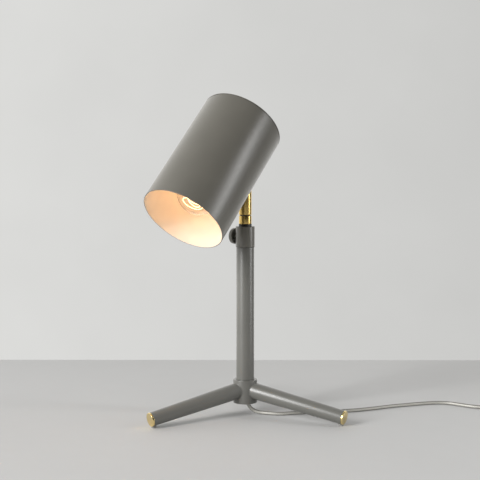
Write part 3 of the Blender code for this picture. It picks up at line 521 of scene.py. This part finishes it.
def make_flex():
    """The whole cord as one tube, from the stand through the switch and the coil to the plug."""
    knots = CORD_TO_SWITCH + THROUGH_SWITCH + CORD_TO_COIL + coil_points() + CORD_TO_PLUG
    path = smooth_path(in_metres(knots), 2.2 * MM)
    flex = tube("flex", path, CORD_RADIUS, 14)
    lengths = ("power_cord", "cord_switch_to_coil", "cord_coil", "cord_coil_to_plug")
    dress(flex, "stand", "clear_cord", lengths, cord_jacket)
    return flex, path


def make_tie():
    """A soft band round the coil's turns."""
    low, high, inner, outer = 0.1, 10.9, 18.6, 41.4
    middle = (inner + outer) / 2.0
    loop = fillet(rounded_outline(outer - inner, high - low, 4.0), closed=True)
    bm = bmesh.new()
    rings = []
    for thickness in (0.0, 0.9):
        for side in (-4.0, 4.0):
            ring = []
            for x, z in loop:
                length = math.hypot(x, z)
                x, z = x * (1.0 - thickness / length), z * (1.0 - thickness / length)
                ring.append(bm.verts.new(Vector((middle + x, side, (low + high) / 2.0 + z)) * MM))
            rings.append(ring)
    for a, b in ((0, 1), (1, 3), (3, 2), (2, 0)):
        bridge(bm, rings[a], rings[b])
    place = Matrix.Translation(Vector((*COIL_CENTRE, 0.0)) * MM) @ Matrix.Rotation(TIE_HEADING, 4, "Z")
    return dress(finish_mesh("coil_tie", bm, place), "stand", "rubber", (), rubber)


RELIEF_LENGTH = 20.0
RELIEF_RINGS = 6
RELIEF_TILT = math.radians(60.0)
RELIEF_HEADING = math.radians(-10.0)


def make_strain_relief():
    """A tapered sleeve with shallow rings, held in the cover by its collar."""
    flat = Vector((math.cos(RELIEF_HEADING), math.sin(RELIEF_HEADING), 0.0))
    out = flat * math.cos(RELIEF_TILT) - Vector((0.0, 0.0, math.sin(RELIEF_TILT)))
    outline = [(0.0, RELIEF_LENGTH), (4.4, RELIEF_LENGTH, 0.3), (4.4, RELIEF_LENGTH - 3.0, 0.3),
               (3.8, RELIEF_LENGTH - 3.4)]
    for k in range(RELIEF_RINGS):
        top = RELIEF_LENGTH - 4.4 - 2.3 * k
        size = 3.75 - 0.14 * k
        outline += [(size, top), (size - 0.4, top - 0.3, 0.1), (size - 0.4, top - 0.9, 0.1),
                    (size - 0.05, top - 1.2)]
    outline += [(2.9, 0.6, 0.2), (2.6, 0.0), (0.0, 0.0)]
    sleeve = lathe("strain_relief", from_mm(outline), frame_along(CORD_EXIT, -out), 40)
    return dress(sleeve, "stand", "clear_cord", ("cord_strain_relief",), clear_plastic)


SWITCH_CENTRE = Vector((398.4, 23.6, 0.0)) * MM
SWITCH_HEADING = math.radians(-10.0)
SWITCH_LENGTH = 56.0
SWITCH_WIDTH = 24.0
SWITCH_SPLIT = 7.5
SWITCH_TOP = 14.5
ROCKER_HEIGHT = 10.5
ROCKER_TILT = math.radians(8.0)


def make_switch():
    place = Matrix.Translation(SWITCH_CENTRE) @ Matrix.Rotation(SWITCH_HEADING, 4, "Z")
    outline = from_mm(rounded_outline(SWITCH_LENGTH, SWITCH_WIDTH, 9.0))
    window = from_mm(rounded_outline(18.0, 10.0, 1.0))
    base = slab("switch_lower", outline, 0.0, SWITCH_SPLIT * MM, 1.2 * MM, place)
    dress(base, "stand", "clear_plastic", ("switch_base",), clear_plastic)
    bottom = (SWITCH_SPLIT + 0.3) * MM
    cover = slab("switch_upper", outline, bottom, SWITCH_TOP * MM, 1.6 * MM, place, [window])
    dress(cover, "stand", "clear_plastic", ("switch_cover",), clear_plastic)
    half, low, high = 8.0, -2.2, 5.6
    side = from_mm([(-half, high, 0.8), (0.0, high - 1.4, 12.0), (half, high, 0.8), (half - 1.0, 0.0, 0.5),
                    (half - 2.0, low, 0.5), (2.0 - half, low, 0.5), (1.0 - half, 0.0, 0.5)])
    tilt = Matrix.Translation(SWITCH_CENTRE + Vector((0.0, 0.0, ROCKER_HEIGHT * MM)))
    tilt = tilt @ Matrix.Rotation(SWITCH_HEADING, 4, "Z") @ Matrix.Rotation(ROCKER_TILT, 4, "Y")
    across = frame_along(Vector(), Vector((0.0, 1.0, 0.0)), Vector((1.0, 0.0, 0.0)))
    side = [(x, -z, *radius) for x, z, *radius in side]
    rocker = slab("rocker", side, -4.6 * MM, 4.6 * MM, 0.5 * MM, tilt @ across)
    dress(rocker, "switch_rocker", "clear_plastic", ("switch_rocker",), black_plastic)
    return [base, cover, rocker]


def make_plug():
    """A moulded two-pin plug with finger hollows and chamfered blades."""
    out = Vector((math.cos(PLUG_HEADING), math.sin(PLUG_HEADING), 0.0))
    end = Vector(CORD_TO_PLUG[-1]) * MM
    place = Matrix.Translation(Vector((end.x, end.y, 0.0)) + out * 0.3 * MM)
    place = place @ Matrix.Rotation(PLUG_HEADING, 4, "Z")
    half, long = 11.0, 32.0
    outline = [(0.0, -3.6, 1.0), (10.0, -4.4, 3.0), (13.0, -9.0, 2.0), (17.0, -half, 3.0),
               (22.0, -half + 0.9, 8.0), (28.0, -half, 2.0), (long, -half, 2.5)]
    outline += [(x, -y, r) for x, y, r in reversed(outline)]
    body = slab("plug_moulding", from_mm(outline), 0.0, 14.0 * MM, 2.2 * MM, place)
    dress(body, "stand", "clear_plastic", ("plug_body",), clear_plastic)
    pieces = [body]
    for name, y in (("left", 6.35), ("right", -6.35)):
        blade = from_mm([(long + 0.3, y - 0.75), (long + 16.0, y - 0.75, 0.3), (long + 17.0, y - 0.3, 0.2),
                         (long + 17.0, y + 0.3, 0.2), (long + 16.0, y + 0.75, 0.3), (long + 0.3, y + 0.75)])
        pin = slab("plug_pin_" + name, blade, 3.8 * MM, 10.2 * MM, 0.25 * MM, place)
        pieces.append(dress(pin, "stand", "brass", ("plug_blade_" + name,), brass))
    return pieces


make_strain_relief()
cord_pieces = make_switch() + make_plug() + [make_tie()]
flex, flex_path = make_flex()


# --- Stand ------------------------------------------------------------------------------------------------

# Sizes without MM are in millimetres, here and in the next two sections.
LEG_HEADINGS = {"left": 212.65, "right": 332.65, "back": 92.65}
LEG_SLOPE = math.radians(9.68)
LEG_AXIS_HEIGHT = 37.5 * MM
LEG_ROOT_RADIUS = 11.6
LEG_TIP_RADIUS = 9.6
LEG_END = 153.5 / math.cos(LEG_SLOPE)
CAP_THICKNESS = 2.6
HUB_RADIUS = 17.0
HUB_BOTTOM = 17.4
HUB_TOP = 50.7
STEM_RADIUS = 12.7
COLLAR_BOTTOM = 239.9
COLLAR_TOP = 269.4
COLLAR_RADIUS = 13.45
COUPLER_BOTTOM = 273.0
COUPLER_TOP = 284.3
NECK_BOTTOM = 285.7
NECK_RADIUS = 9.0
MAST_RADIUS = 7.8
KNOB_HEADING = math.radians(138.0)
KNOB_HEIGHT = 254.8 * MM
KNOB_RADIUS = 11.5
THREAD_TURNS = 12
THREAD_PITCH = 0.8


def leg_frame(side):
    """Z runs out along the leg, X points up."""
    heading = math.radians(LEG_HEADINGS[side])
    flat = Vector((math.cos(heading), math.sin(heading), 0.0))
    down = Vector((0.0, 0.0, -math.sin(LEG_SLOPE)))
    return frame_along(Vector((0.0, 0.0, LEG_AXIS_HEIGHT)), flat * math.cos(LEG_SLOPE) + down)


def make_hub():
    outline = [(STEM_RADIUS + 0.2, 44.7), (STEM_RADIUS + 0.2, HUB_TOP, 0.25), (HUB_RADIUS, HUB_TOP, 0.7),
               (HUB_RADIUS, HUB_BOTTOM, 0.7), (14.5, HUB_BOTTOM, 0.3), (14.5, 23.6), (11.0, 23.6),
               (11.0, 44.7)]
    hub = lathe("hub_shell", from_mm(outline), WHOLE, 128, closed=True)
    # The hub gets the lighter copy of the powder coat: painted light.
    dress(hub, "stand", "grey_paint", ("hub",), lit_stand_paint)


def leg_radius(along):
    """A leg's radius at a distance along it from the stem's axis."""
    growth = LEG_TIP_RADIUS - LEG_ROOT_RADIUS
    return LEG_ROOT_RADIUS + growth * (along - HUB_RADIUS) / (LEG_END - HUB_RADIUS)


def weld_line(place, count=72):
    """Where a leg's skin meets the hub's, as a closed loop of points in metres."""
    points = []
    for k in range(count):
        angle = TAU * k / count
        start = place @ (Vector((math.cos(angle), math.sin(angle), 0.0)) * LEG_ROOT_RADIUS * MM)
        along = place.to_3x3() @ Vector((0.0, 0.0, 1.0))
        a = along.x ** 2 + along.y ** 2
        b = start.x * along.x + start.y * along.y
        c = start.x ** 2 + start.y ** 2 - (HUB_RADIUS * MM) ** 2
        points.append(start + along * ((-b + math.sqrt(b * b - a * c)) / a))
    return points


def make_legs():
    for side in LEG_HEADINGS:
        place = leg_frame(side)
        low, start = LEG_END - CAP_THICKNESS, 13.0
        inner = LEG_TIP_RADIUS - 1.5
        leg_outline = [(leg_radius(start), start), (LEG_TIP_RADIUS, low - 0.3, 0.3), (inner, low - 0.3),
                       (leg_radius(start) - 1.5, start)]
        leg = lathe("leg_tube_" + side, from_mm(leg_outline), place, 96, closed=True)
        # Legs and weld beads get the lighter copy of the powder coat: painted light.
        dress(leg, "stand", "grey_paint", ("leg_" + side,), lit_stand_paint)
        cap = [(0.0, LEG_END), (LEG_TIP_RADIUS, LEG_END, 0.6), (LEG_TIP_RADIUS, low, 0.35),
               (inner - 0.3, low), (inner - 0.3, low - 7.0, 0.4), (0.0, low - 7.0)]
        made = lathe("end_cap_" + side, from_mm(cap), place, 96)
        dress(made, "stand", "brass", ("leg_cap_" + side,), bright_brass)
        bead = ring_tube("weld_" + side, weld_line(place), 0.55 * MM)
        dress(bead, "stand", "grey_paint", (), lit_stand_paint)


def make_stem():
    outline = [(STEM_RADIUS, 45.0), (STEM_RADIUS, COLLAR_BOTTOM - 0.3, 0.2), (11.0, COLLAR_BOTTOM - 0.3),
               (11.0, 45.0)]
    stem = lathe("stem", from_mm(outline), WHOLE, 128, closed=True)
    # The stem gets the lighter copy of the powder coat, painted light; the collar below gets the darker shade
    # paint, painted shade under the shade.
    dress(stem, "stand", "grey_paint", ("stem_tube",), lit_stand_paint)
    collar = [(9.4, COLLAR_TOP, 0.2), (COLLAR_RADIUS, COLLAR_TOP, 1.1), (COLLAR_RADIUS, COLLAR_BOTTOM, 0.35),
              (10.7, COLLAR_BOTTOM), (10.7, COLLAR_BOTTOM - 17.0, 0.5), (8.1, COLLAR_BOTTOM - 17.0),
              (8.1, COLLAR_TOP - 7.1), (9.4, COLLAR_TOP - 7.1)]
    clamp = lathe("collar", from_mm(collar), WHOLE, 128, closed=True)
    dress(clamp, "stand", "grey_paint", ("clamp_collar",), grey_paint)
    top = COUPLER_BOTTOM - 0.3
    bushing = [(8.1, top, 0.2), (9.1, top, 0.3), (9.1, COLLAR_TOP - 6.8), (8.1, COLLAR_TOP - 6.8)]
    ring = lathe("bushing", from_mm(bushing), WHOLE, 96, closed=True)
    dress(ring, "stand", "black_plastic", ("guide_bushing",), black_plastic)


def make_thumb_screw():
    heading = Vector((math.cos(KNOB_HEADING), math.sin(KNOB_HEADING), 0.0))
    place = frame_along(Vector((0.0, 0.0, KNOB_HEIGHT)), heading)
    thread = [(0.0, 19.6), (2.2, 19.6, 0.3)]
    for k in range(THREAD_TURNS):
        z = 18.4 - THREAD_PITCH * k
        thread += [(2.2, z), (1.85, z - 0.4)]
    thread += [(2.2, 8.6, 0.2), (1.7, 8.1), (0.0, 8.1)]
    shank = lathe("clamp_shank", from_mm(thread), place, 40)
    dress(shank, "clamp_screw", "steel", ("thumb_screw_shank",), steel)
    knob = [(0.0, 22.2), (KNOB_RADIUS, 22.2, 1.4), (KNOB_RADIUS, 16.0, 0.7), (9.1, 16.0, 0.4),
            (9.1, 20.2, 0.5), (4.6, 20.2, 0.3), (4.6, 16.8, 0.4), (2.5, 16.8), (2.5, 19.9), (0.0, 19.9)]
    made = lathe("clamp_disc", from_mm(knob), place, 96)
    # The knob gets the shade's darker paint: painted shade under the shade.
    dress(made, "clamp_knob", "grey_paint", ("thumb_screw_knob",), grey_paint)


make_hub()
make_legs()
make_stem()
make_thumb_screw()


# --- Mast and neck ----------------------------------------------------------------------------------------

SWIVEL_HEADING = math.radians(230.37)
PIVOT_HEIGHT = 318.3
SHADE_LEAN = math.radians(-43.21)
NECK = Matrix.Rotation(SWIVEL_HEADING, 4, "Z")
HEAD = NECK @ Matrix.Translation((0.0, 0.0, PIVOT_HEIGHT * MM)) @ Matrix.Rotation(SHADE_LEAN, 4, "Y")
STUD_RADIUS = 5.2
MAST_BOTTOM = 118.3
MAST_BORE = 6.3


def combine(obj, tool, operation="DIFFERENCE"):
    """Applies a Boolean and drops the tool."""
    boolean = obj.modifiers.new("cut", "BOOLEAN")
    boolean.object, boolean.operation, boolean.solver = tool, operation, "EXACT"
    bpy.context.view_layer.update()
    mesh = bpy.data.meshes.new_from_object(obj.evaluated_get(bpy.context.evaluated_depsgraph_get()))
    obj.modifiers.clear()
    obj.data = mesh
    bpy.data.objects.remove(tool)
    mesh.shade_smooth()
    mesh.set_sharp_from_angle(angle=math.radians(CREASE))


def box_tool(low, high, matrix):
    """A box between two opposite corners in millimetres, for combine."""
    bm = bmesh.new()
    bmesh.ops.create_cube(bm, size=1.0)
    low, high = (Vector(corner) for corner in from_mm((low, high)))
    size, centre = high - low, (high + low) / 2.0
    for vert in bm.verts:
        vert.co = Vector(a * b for a, b in zip(vert.co, size)) + centre
    return finish_mesh("tool", bm, matrix)


def rod(name, radius, low, high, matrix, steps=48, edge=0.0):
    outline = from_mm([(0.0, high), (radius, high, edge), (radius, low, edge), (0.0, low)])
    return lathe(name, outline, matrix, steps)


def make_mast():
    top = COUPLER_BOTTOM + 3.0
    outline = [(MAST_RADIUS, MAST_BOTTOM), (MAST_RADIUS, top), (MAST_BORE, top), (MAST_BORE, MAST_BOTTOM)]
    mast = lathe("mast", from_mm(outline), WHOLE, 96, closed=True)
    dress(mast, "mast", "brass", ("mast_tube",), brass)
    outline = [(STUD_RADIUS, COUPLER_TOP), (NECK_RADIUS, COUPLER_TOP, 0.35),
               (NECK_RADIUS, COUPLER_BOTTOM, 0.2), (8.1, COUPLER_BOTTOM), (8.1, COUPLER_BOTTOM + 3.3),
               (6.8, COUPLER_BOTTOM + 3.3), (6.8, COUPLER_TOP - 4.0), (STUD_RADIUS, COUPLER_TOP - 4.0)]
    coupler = lathe("coupler", from_mm(outline), WHOLE, 96, closed=True)
    dress(coupler, "mast", "brass", ("mast_coupler",), brass)


def make_neck():
    """A domed brass rod with a slot for the knuckle, a screw across the slot and bores for stud and screw."""
    dome = [(NECK_RADIUS * math.cos(math.radians(a)), PIVOT_HEIGHT + NECK_RADIUS * math.sin(math.radians(a)))
            for a in range(90, 0, -6)]
    side = [(NECK_RADIUS, PIVOT_HEIGHT), (NECK_RADIUS, NECK_BOTTOM, 0.35), (STUD_RADIUS, NECK_BOTTOM),
            (STUD_RADIUS, 303.0), (0.0, 303.0)]
    outline = [(0.0, dome[0][1])] + dome[1:] + side
    neck = lathe("neck", from_mm(outline), NECK, 96)
    combine(neck, box_tool((-20.0, -4.0, PIVOT_HEIGHT - 9.2), (20.0, 4.0, 340.0), NECK))
    pin = NECK @ frame_along(Vector((0.0, 0.0, PIVOT_HEIGHT * MM)), Vector((0.0, -1.0, 0.0)))
    combine(neck, rod("tool", 2.6, -7.0, 12.0, pin))
    combine(neck, rod("tool", 4.5, 6.7, 12.0, pin))
    combine(neck, rod("tool", 3.2, 302.0, 312.0, NECK))
    dress(neck, "neck", "brass", ("neck_knuckle",), brass)
    bolt = [(0.0, 9.2), (3.0, 9.2, 0.3), (4.1, 8.2, 0.4), (4.1, 7.0), (2.3, 7.0), (2.3, -6.6, 0.3),
            (0.0, -6.6)]
    screw = lathe("pivot_bolt", from_mm(bolt), pin, 48)
    combine(screw, rod("tool", 1.75, 7.6, 10.0, pin, 6))
    dress(screw, "neck", "brass", ("pivot_screw",), brass)


def make_knuckle():
    pin = HEAD @ frame_along(Vector(), Vector((0.0, -1.0, 0.0)))
    outward = HEAD @ frame_along(Vector(), Vector((1.0, 0.0, 0.0)))
    eye = rod("knuckle", 7.4, -3.0, 3.0, pin, 96, 0.4)
    combine(eye, box_tool((0.0, -2.9, -5.0), (11.5, 2.9, 5.0), HEAD), "UNION")
    combine(eye, rod("tool", 9.0, 9.7, 12.9, outward, 96, 0.5), "UNION")
    combine(eye, rod("tool", 4.0, 11.0, 23.0, outward, 48, 0.3), "UNION")
    combine(eye, rod("tool", 2.6, -10.0, 10.0, pin))
    dress(eye, "head", "brass", ("shade_knuckle",), brass)


make_mast()
make_neck()
make_knuckle()


# --- Head -------------------------------------------------------------------------------------------------

SHADE_RADIUS = 58.7
SHADE_WALL = 1.2
PIVOT_TO_SHADE = 12.0 * MM
SHADE = HEAD @ Matrix.Translation((SHADE_RADIUS * MM + PIVOT_TO_SHADE, 0.0, 0.0))
SHADE_MOUTH = -113.3
SHADE_TOP = 64.4
BULB_TIP = SHADE_MOUTH + 17.2
BULB_RADIUS = 30.0
BULB_CENTRE = BULB_TIP + BULB_RADIUS
BRACKET_PLATE = 30.3
FILAMENT_TURNS = 3.25  # each way
FILAMENT_STEPS = 60
FILAMENT_TOP = BULB_TIP + 35.0
FILAMENT_DROP = 26.0
FILAMENT_WIDE = 14.0
FILAMENT_NARROW = 9.4


def make_shade():
    inner = SHADE_RADIUS - SHADE_WALL
    seam = SHADE_TOP - 1.1  # a fine groove where the closed end meets the tube
    floor = SHADE_RADIUS - 0.7
    roof = SHADE_TOP - SHADE_WALL
    outline = [(0.0, SHADE_TOP), (SHADE_RADIUS, SHADE_TOP, 0.8), (SHADE_RADIUS, seam, 0.1),
               (floor, seam - 0.1), (floor, seam - 1.2), (SHADE_RADIUS, seam - 1.3, 0.1),
               (SHADE_RADIUS, SHADE_MOUTH, 0.45), (inner, SHADE_MOUTH, 0.45), (inner, roof, 1.0), (0.0, roof)]

    def lined(radius, height):
        return radius < (inner + 0.2 * SHADE_WALL) * MM and height < (SHADE_TOP - 0.5 * SHADE_WALL) * MM

    shade = lathe("shade_shell", from_mm(outline), SHADE, 192, inside=lined)
    dress(shade, "head", "grey_paint", ("shade",), grey_paint, white_paint)


def make_lampholder():
    back = BRACKET_PLATE - 0.3
    outline = [(1.8, back), (14.0, back, 0.4), (15.5, back - 1.5, 0.5), (15.5, 10.0, 1.0), (17.5, 7.0, 1.0)]
    for k in range(5):
        z = 3.0 - 3.6 * k
        outline += [(17.5, z, 0.2), (17.1, z - 0.5, 0.15), (17.1, z - 1.1, 0.15), (17.5, z - 1.6, 0.2)]
    outline += [(17.5, -17.0, 0.9), (14.3, -17.0, 0.4), (14.3, 13.5), (3.4, 13.5), (3.4, 17.5), (1.8, 17.5)]
    holder = lathe("lampholder", from_mm(outline), SHADE, 96, closed=True)
    dress(holder, "head", "porcelain", ("lampholder_body",), porcelain)


def bulb_side(offset):
    """The bulb's outline from its tip to its neck, moved in by the offset."""
    neck, neck_low, blend = 12.2, -23.0, 22.0
    join = math.acos((neck + blend) / (BULB_RADIUS + blend))
    flare = (neck + blend, BULB_CENTRE + math.sin(join) * (BULB_RADIUS + blend))
    globe = [((BULB_RADIUS - offset) * math.cos(a), BULB_CENTRE + (BULB_RADIUS - offset) * math.sin(a))
             for a in (-math.pi / 2.0 + (join + math.pi / 2.0) * k / 28 for k in range(29))]
    side = [(flare[0] + (blend + offset) * math.cos(a), flare[1] + (blend + offset) * math.sin(a))
            for a in (math.pi + join * (1.0 - k / 10) for k in range(1, 11))]
    return globe + side + [(neck - offset, max(neck_low, flare[1]) + 6.0), (neck - offset, -10.0)]


def make_bulb():
    inner, outer = bulb_side(0.8), bulb_side(0.0)
    outline = [(max(r, 0.0), z) for r, z in inner + outer[::-1]]
    outline[0], outline[-1] = (0.0, outline[0][1]), (0.0, outline[-1][1])
    globe = lathe("bulb_globe", from_mm(outline), SHADE, 128)
    globe.visible_shadow = False
    dress(globe, "head", "bulb_glass", ("bulb_glass",), bulb_glass)
    stem = [(0.0, 3.0), (4.0, 3.0, 0.4), (4.0, -6.0, 1.5), (9.5, -9.0, 0.4), (9.5, -10.0, 0.4),
            (4.0, -14.0, 2.0), (3.0, -30.0, 1.0), (3.4, -36.0, 0.8), (2.0, -38.0, 0.6), (0.0, -38.0)]
    mount = lathe("bulb_stem", from_mm(stem), SHADE, 64)
    mount.visible_shadow = False
    dress(mount, "head", "bulb_glass", ("bulb_mount",), bulb_glass)
    make_screw_cap()
    for name, side in (("front", -1.0), ("rear", 1.0)):
        route = [Vector((0.0, side * y, z)) * MM for y, z in ((1.3, -38.4), (3.0, -46.0), (9.0, -60.0))]
        wire = tube("support_" + name, smooth_path(route, 1.0 * MM), 0.3 * MM, 8, SHADE)
        dress(wire, "head", "steel", ("bulb_lead_" + name,), steel)
    make_filament()


def make_screw_cap():
    """A rolled brass thread, the radius following a helix."""
    steps, pitch, low, high = 96, 3.6, -15.0, 8.5
    rows = 120
    bm = bmesh.new()
    skins = []
    for base, depth in ((13.0, 0.28), (12.55, 0.0)):
        rings = []
        for i in range(rows + 1):
            z = low + (high - low) * i / rows
            fade = smoothstep((z - low) / 2.5) * smoothstep((high - z) / 2.5)
            ring = []
            for k in range(steps):
                angle = TAU * k / steps
                size = base + depth * fade * math.sin(TAU * (z / pitch - k / steps))
                ring.append(bm.verts.new(Vector((size * math.cos(angle), size * math.sin(angle), z)) * MM))
            rings.append(ring)
        skins.append(rings)
    for rings in skins:
        for a, b in zip(rings, rings[1:]):
            bridge(bm, a, b)
    for row in (0, -1):
        bridge(bm, skins[0][row], skins[1][row])
    cap = finish_mesh("bulb_thread", bm, SHADE)
    dress(cap, "head", "brass", ("bulb_cap",), bright_brass)


def make_filament():
    """A wide glowing spiral down round the bulb's axis, and a narrow one back up inside it, lead to lead."""
    points = []
    for i in range(2 * FILAMENT_STEPS + 1):
        turn = FILAMENT_TURNS * i / FILAMENT_STEPS
        down = min(i, 2 * FILAMENT_STEPS - i) / FILAMENT_STEPS
        flare = min(1.0, turn / 0.4, max(0.0, (FILAMENT_TURNS + 0.45 - turn) / 0.45))
        radius = FILAMENT_NARROW + (FILAMENT_WIDE - FILAMENT_NARROW) * smoothstep(flare)
        angle = TAU * turn - math.pi / 2.0
        height = FILAMENT_TOP - FILAMENT_DROP * down
        points.append(Vector((radius * math.cos(angle), radius * math.sin(angle), height)) * MM)
    wire = tube("filament", smooth_path(points, 0.8 * MM), 0.4 * MM, 10, SHADE)
    dress(wire, "head", "filament", ("bulb_filament",), filament)


make_shade()
make_lampholder()
make_bulb()

CAD_FINISHES = {
    steel: ("cover_screw_front", "cover_screw_rear", "swivel_stud", "knuckle_washer", "knuckle_nut",
            "socket_bracket", "bracket_screw"),
    black_plastic: ("hub_cover", "mast_stop", "swivel_washer", "pivot_washer_left", "pivot_washer_right",
                    "bulb_insulator"),
    clear_plastic: ("stem_lead", "mast_lead", "lampholder_lead"),
    brass: ("lampholder_shell", "lampholder_contact", "bulb_contact"),
    grey_rubber: ("foot_pad_left", "foot_pad_right", "foot_pad_back"),
}
for finish, names in CAD_FINISHES.items():
    for name in names:
        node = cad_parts[name]
        node.data.materials.clear()
        node.data.materials.append(finish)


# --- Stage and light --------------------------------------------------------------------------------------

FLOOR_BACK = 0.415  # metres, like every size in this section
FLOOR_REACH = 4.0
ROOM_LIGHT = {"left": 1.2, "back": 1.4, "top": 0.35}
# Painted light on the wall: brighter on the left, darker to the right.
WALL_LIGHT_FALLOFF = (1.04, 0.87)
WALL_COLOUR = (0.68, 0.68, 0.665, 1.0)
LIGHT_AIM = Vector((0.0, 0.0, 0.25))
AREA_LIGHTS = (  # name, place, size, watts
    ("window", (-2.6, -2.18, 1.5), (1.15, 2.0), 122.0),
    ("strip", (1.9, -0.35, 0.65), (0.3, 1.4), 14.0),
)
BULB_WATTS = 0.062


def make_floor():
    n = Nodes("floor")
    n.surface(Base_Color=n.ramp(n.noise(2.0, 3.0), (0.3, (0.55, 0.55, 0.545)), (0.7, (0.57, 0.57, 0.565))),
              Roughness=n.spread(n.noise(30.0, 3.0), 0.78, 0.88),
              Normal=n.bump(n.noise(700.0, 3.0), 0.1, 0.0001))
    corners = [(-FLOOR_REACH, -FLOOR_REACH, 0.0), (FLOOR_REACH, -FLOOR_REACH, 0.0),
               (FLOOR_REACH, FLOOR_BACK, 0.0), (-FLOOR_REACH, FLOOR_BACK, 0.0)]
    mesh = bpy.data.meshes.new("floor")
    mesh.from_pydata(corners, [], [(0, 1, 2, 3)])
    mesh.materials.append(n.material)
    add_object("floor", mesh)


def add_area(name, place, size, watts):
    data = bpy.data.lights.new(name, "AREA")
    data.shape = "RECTANGLE"
    data.size, data.size_y = size
    data.energy = watts
    light = add_object(name, data)
    light.location = place
    light.rotation_euler = (LIGHT_AIM - Vector(place)).to_track_quat("-Z", "Y").to_euler()


def make_world():
    """Light from the left, the back and above, and a wall where the camera looks past the floor, with a faint
    mottle and painted light: brighter on the left, darker to the right.
    """
    world = bpy.data.worlds.new("studio")
    bpy.context.scene.world = world
    world.use_nodes = True
    tree = world.node_tree
    new, link = tree.nodes.new, tree.links.new
    parts = new("ShaderNodeSeparateXYZ")
    mottle = new("ShaderNodeTexNoise")
    mottle.inputs["Scale"].default_value = 11.0
    mottle.inputs["Detail"].default_value = 4.0
    directions = new("ShaderNodeTexCoord").outputs["Generated"]
    link(directions, parts.inputs["Vector"])
    link(directions, mottle.inputs["Vector"])

    def fade(source, low, high, start, end):
        node = new("ShaderNodeMapRange")
        link(source, node.inputs["Value"])
        for key, value in (("From Min", start), ("From Max", end), ("To Min", low), ("To Max", high)):
            node.inputs[key].default_value = value
        return node.outputs["Result"]

    def join(kind, a, b):
        node = new("ShaderNodeMath")
        node.operation = kind
        link(a, node.inputs[0])
        link(b, node.inputs[1])
        return node.outputs["Value"]

    lobes = []
    for name, axis, end in (("left", "X", -1.0), ("back", "Y", 1.0), ("top", "Z", 1.0)):
        side = parts.outputs[axis]
        rise = fade(side, 0.0, 1.0, 0.0, end)
        lobes.append(join("MULTIPLY", rise, fade(side, 0.0, ROOM_LIGHT[name], 0.0, end)))
    room = join("ADD", join("ADD", lobes[0], lobes[1]), lobes[2])
    light = tree.nodes["Background"]
    light.inputs["Color"].default_value = (1.0, 0.99, 0.97, 1.0)
    link(room, light.inputs["Strength"])
    wall = new("ShaderNodeBackground")
    wall.inputs["Color"].default_value = WALL_COLOUR
    plaster = fade(mottle.outputs["Fac"], 0.982, 1.018, 0.3, 0.7)
    # Painted light: the wall fades from bright on the left to darker on the right.
    across = fade(parts.outputs["X"], *WALL_LIGHT_FALLOFF, -0.22, 0.22)
    link(join("MULTIPLY", across, plaster), wall.inputs["Strength"])
    seen = new("ShaderNodeMixShader")
    link(new("ShaderNodeLightPath").outputs["Is Camera Ray"], seen.inputs["Fac"])
    link(light.outputs["Background"], seen.inputs[1])
    link(wall.outputs["Background"], seen.inputs[2])
    link(seen.outputs["Shader"], tree.nodes["World Output"].inputs["Surface"])


def make_bulb_light():
    data = bpy.data.lights.new("bulb_light", "POINT")
    data.energy = BULB_WATTS
    data.color = (1.0, 0.515, 0.232)
    data.shadow_soft_size = 0.009
    light = add_object("bulb_light", data)
    light.location = SHADE @ Vector((0.0, 0.0, BULB_CENTRE * MM))
    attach(light, "head")


make_floor()
make_world()
for area_light in AREA_LIGHTS:
    add_area(*area_light)
make_bulb_light()
bpy.context.scene.view_settings.view_transform = "Standard"
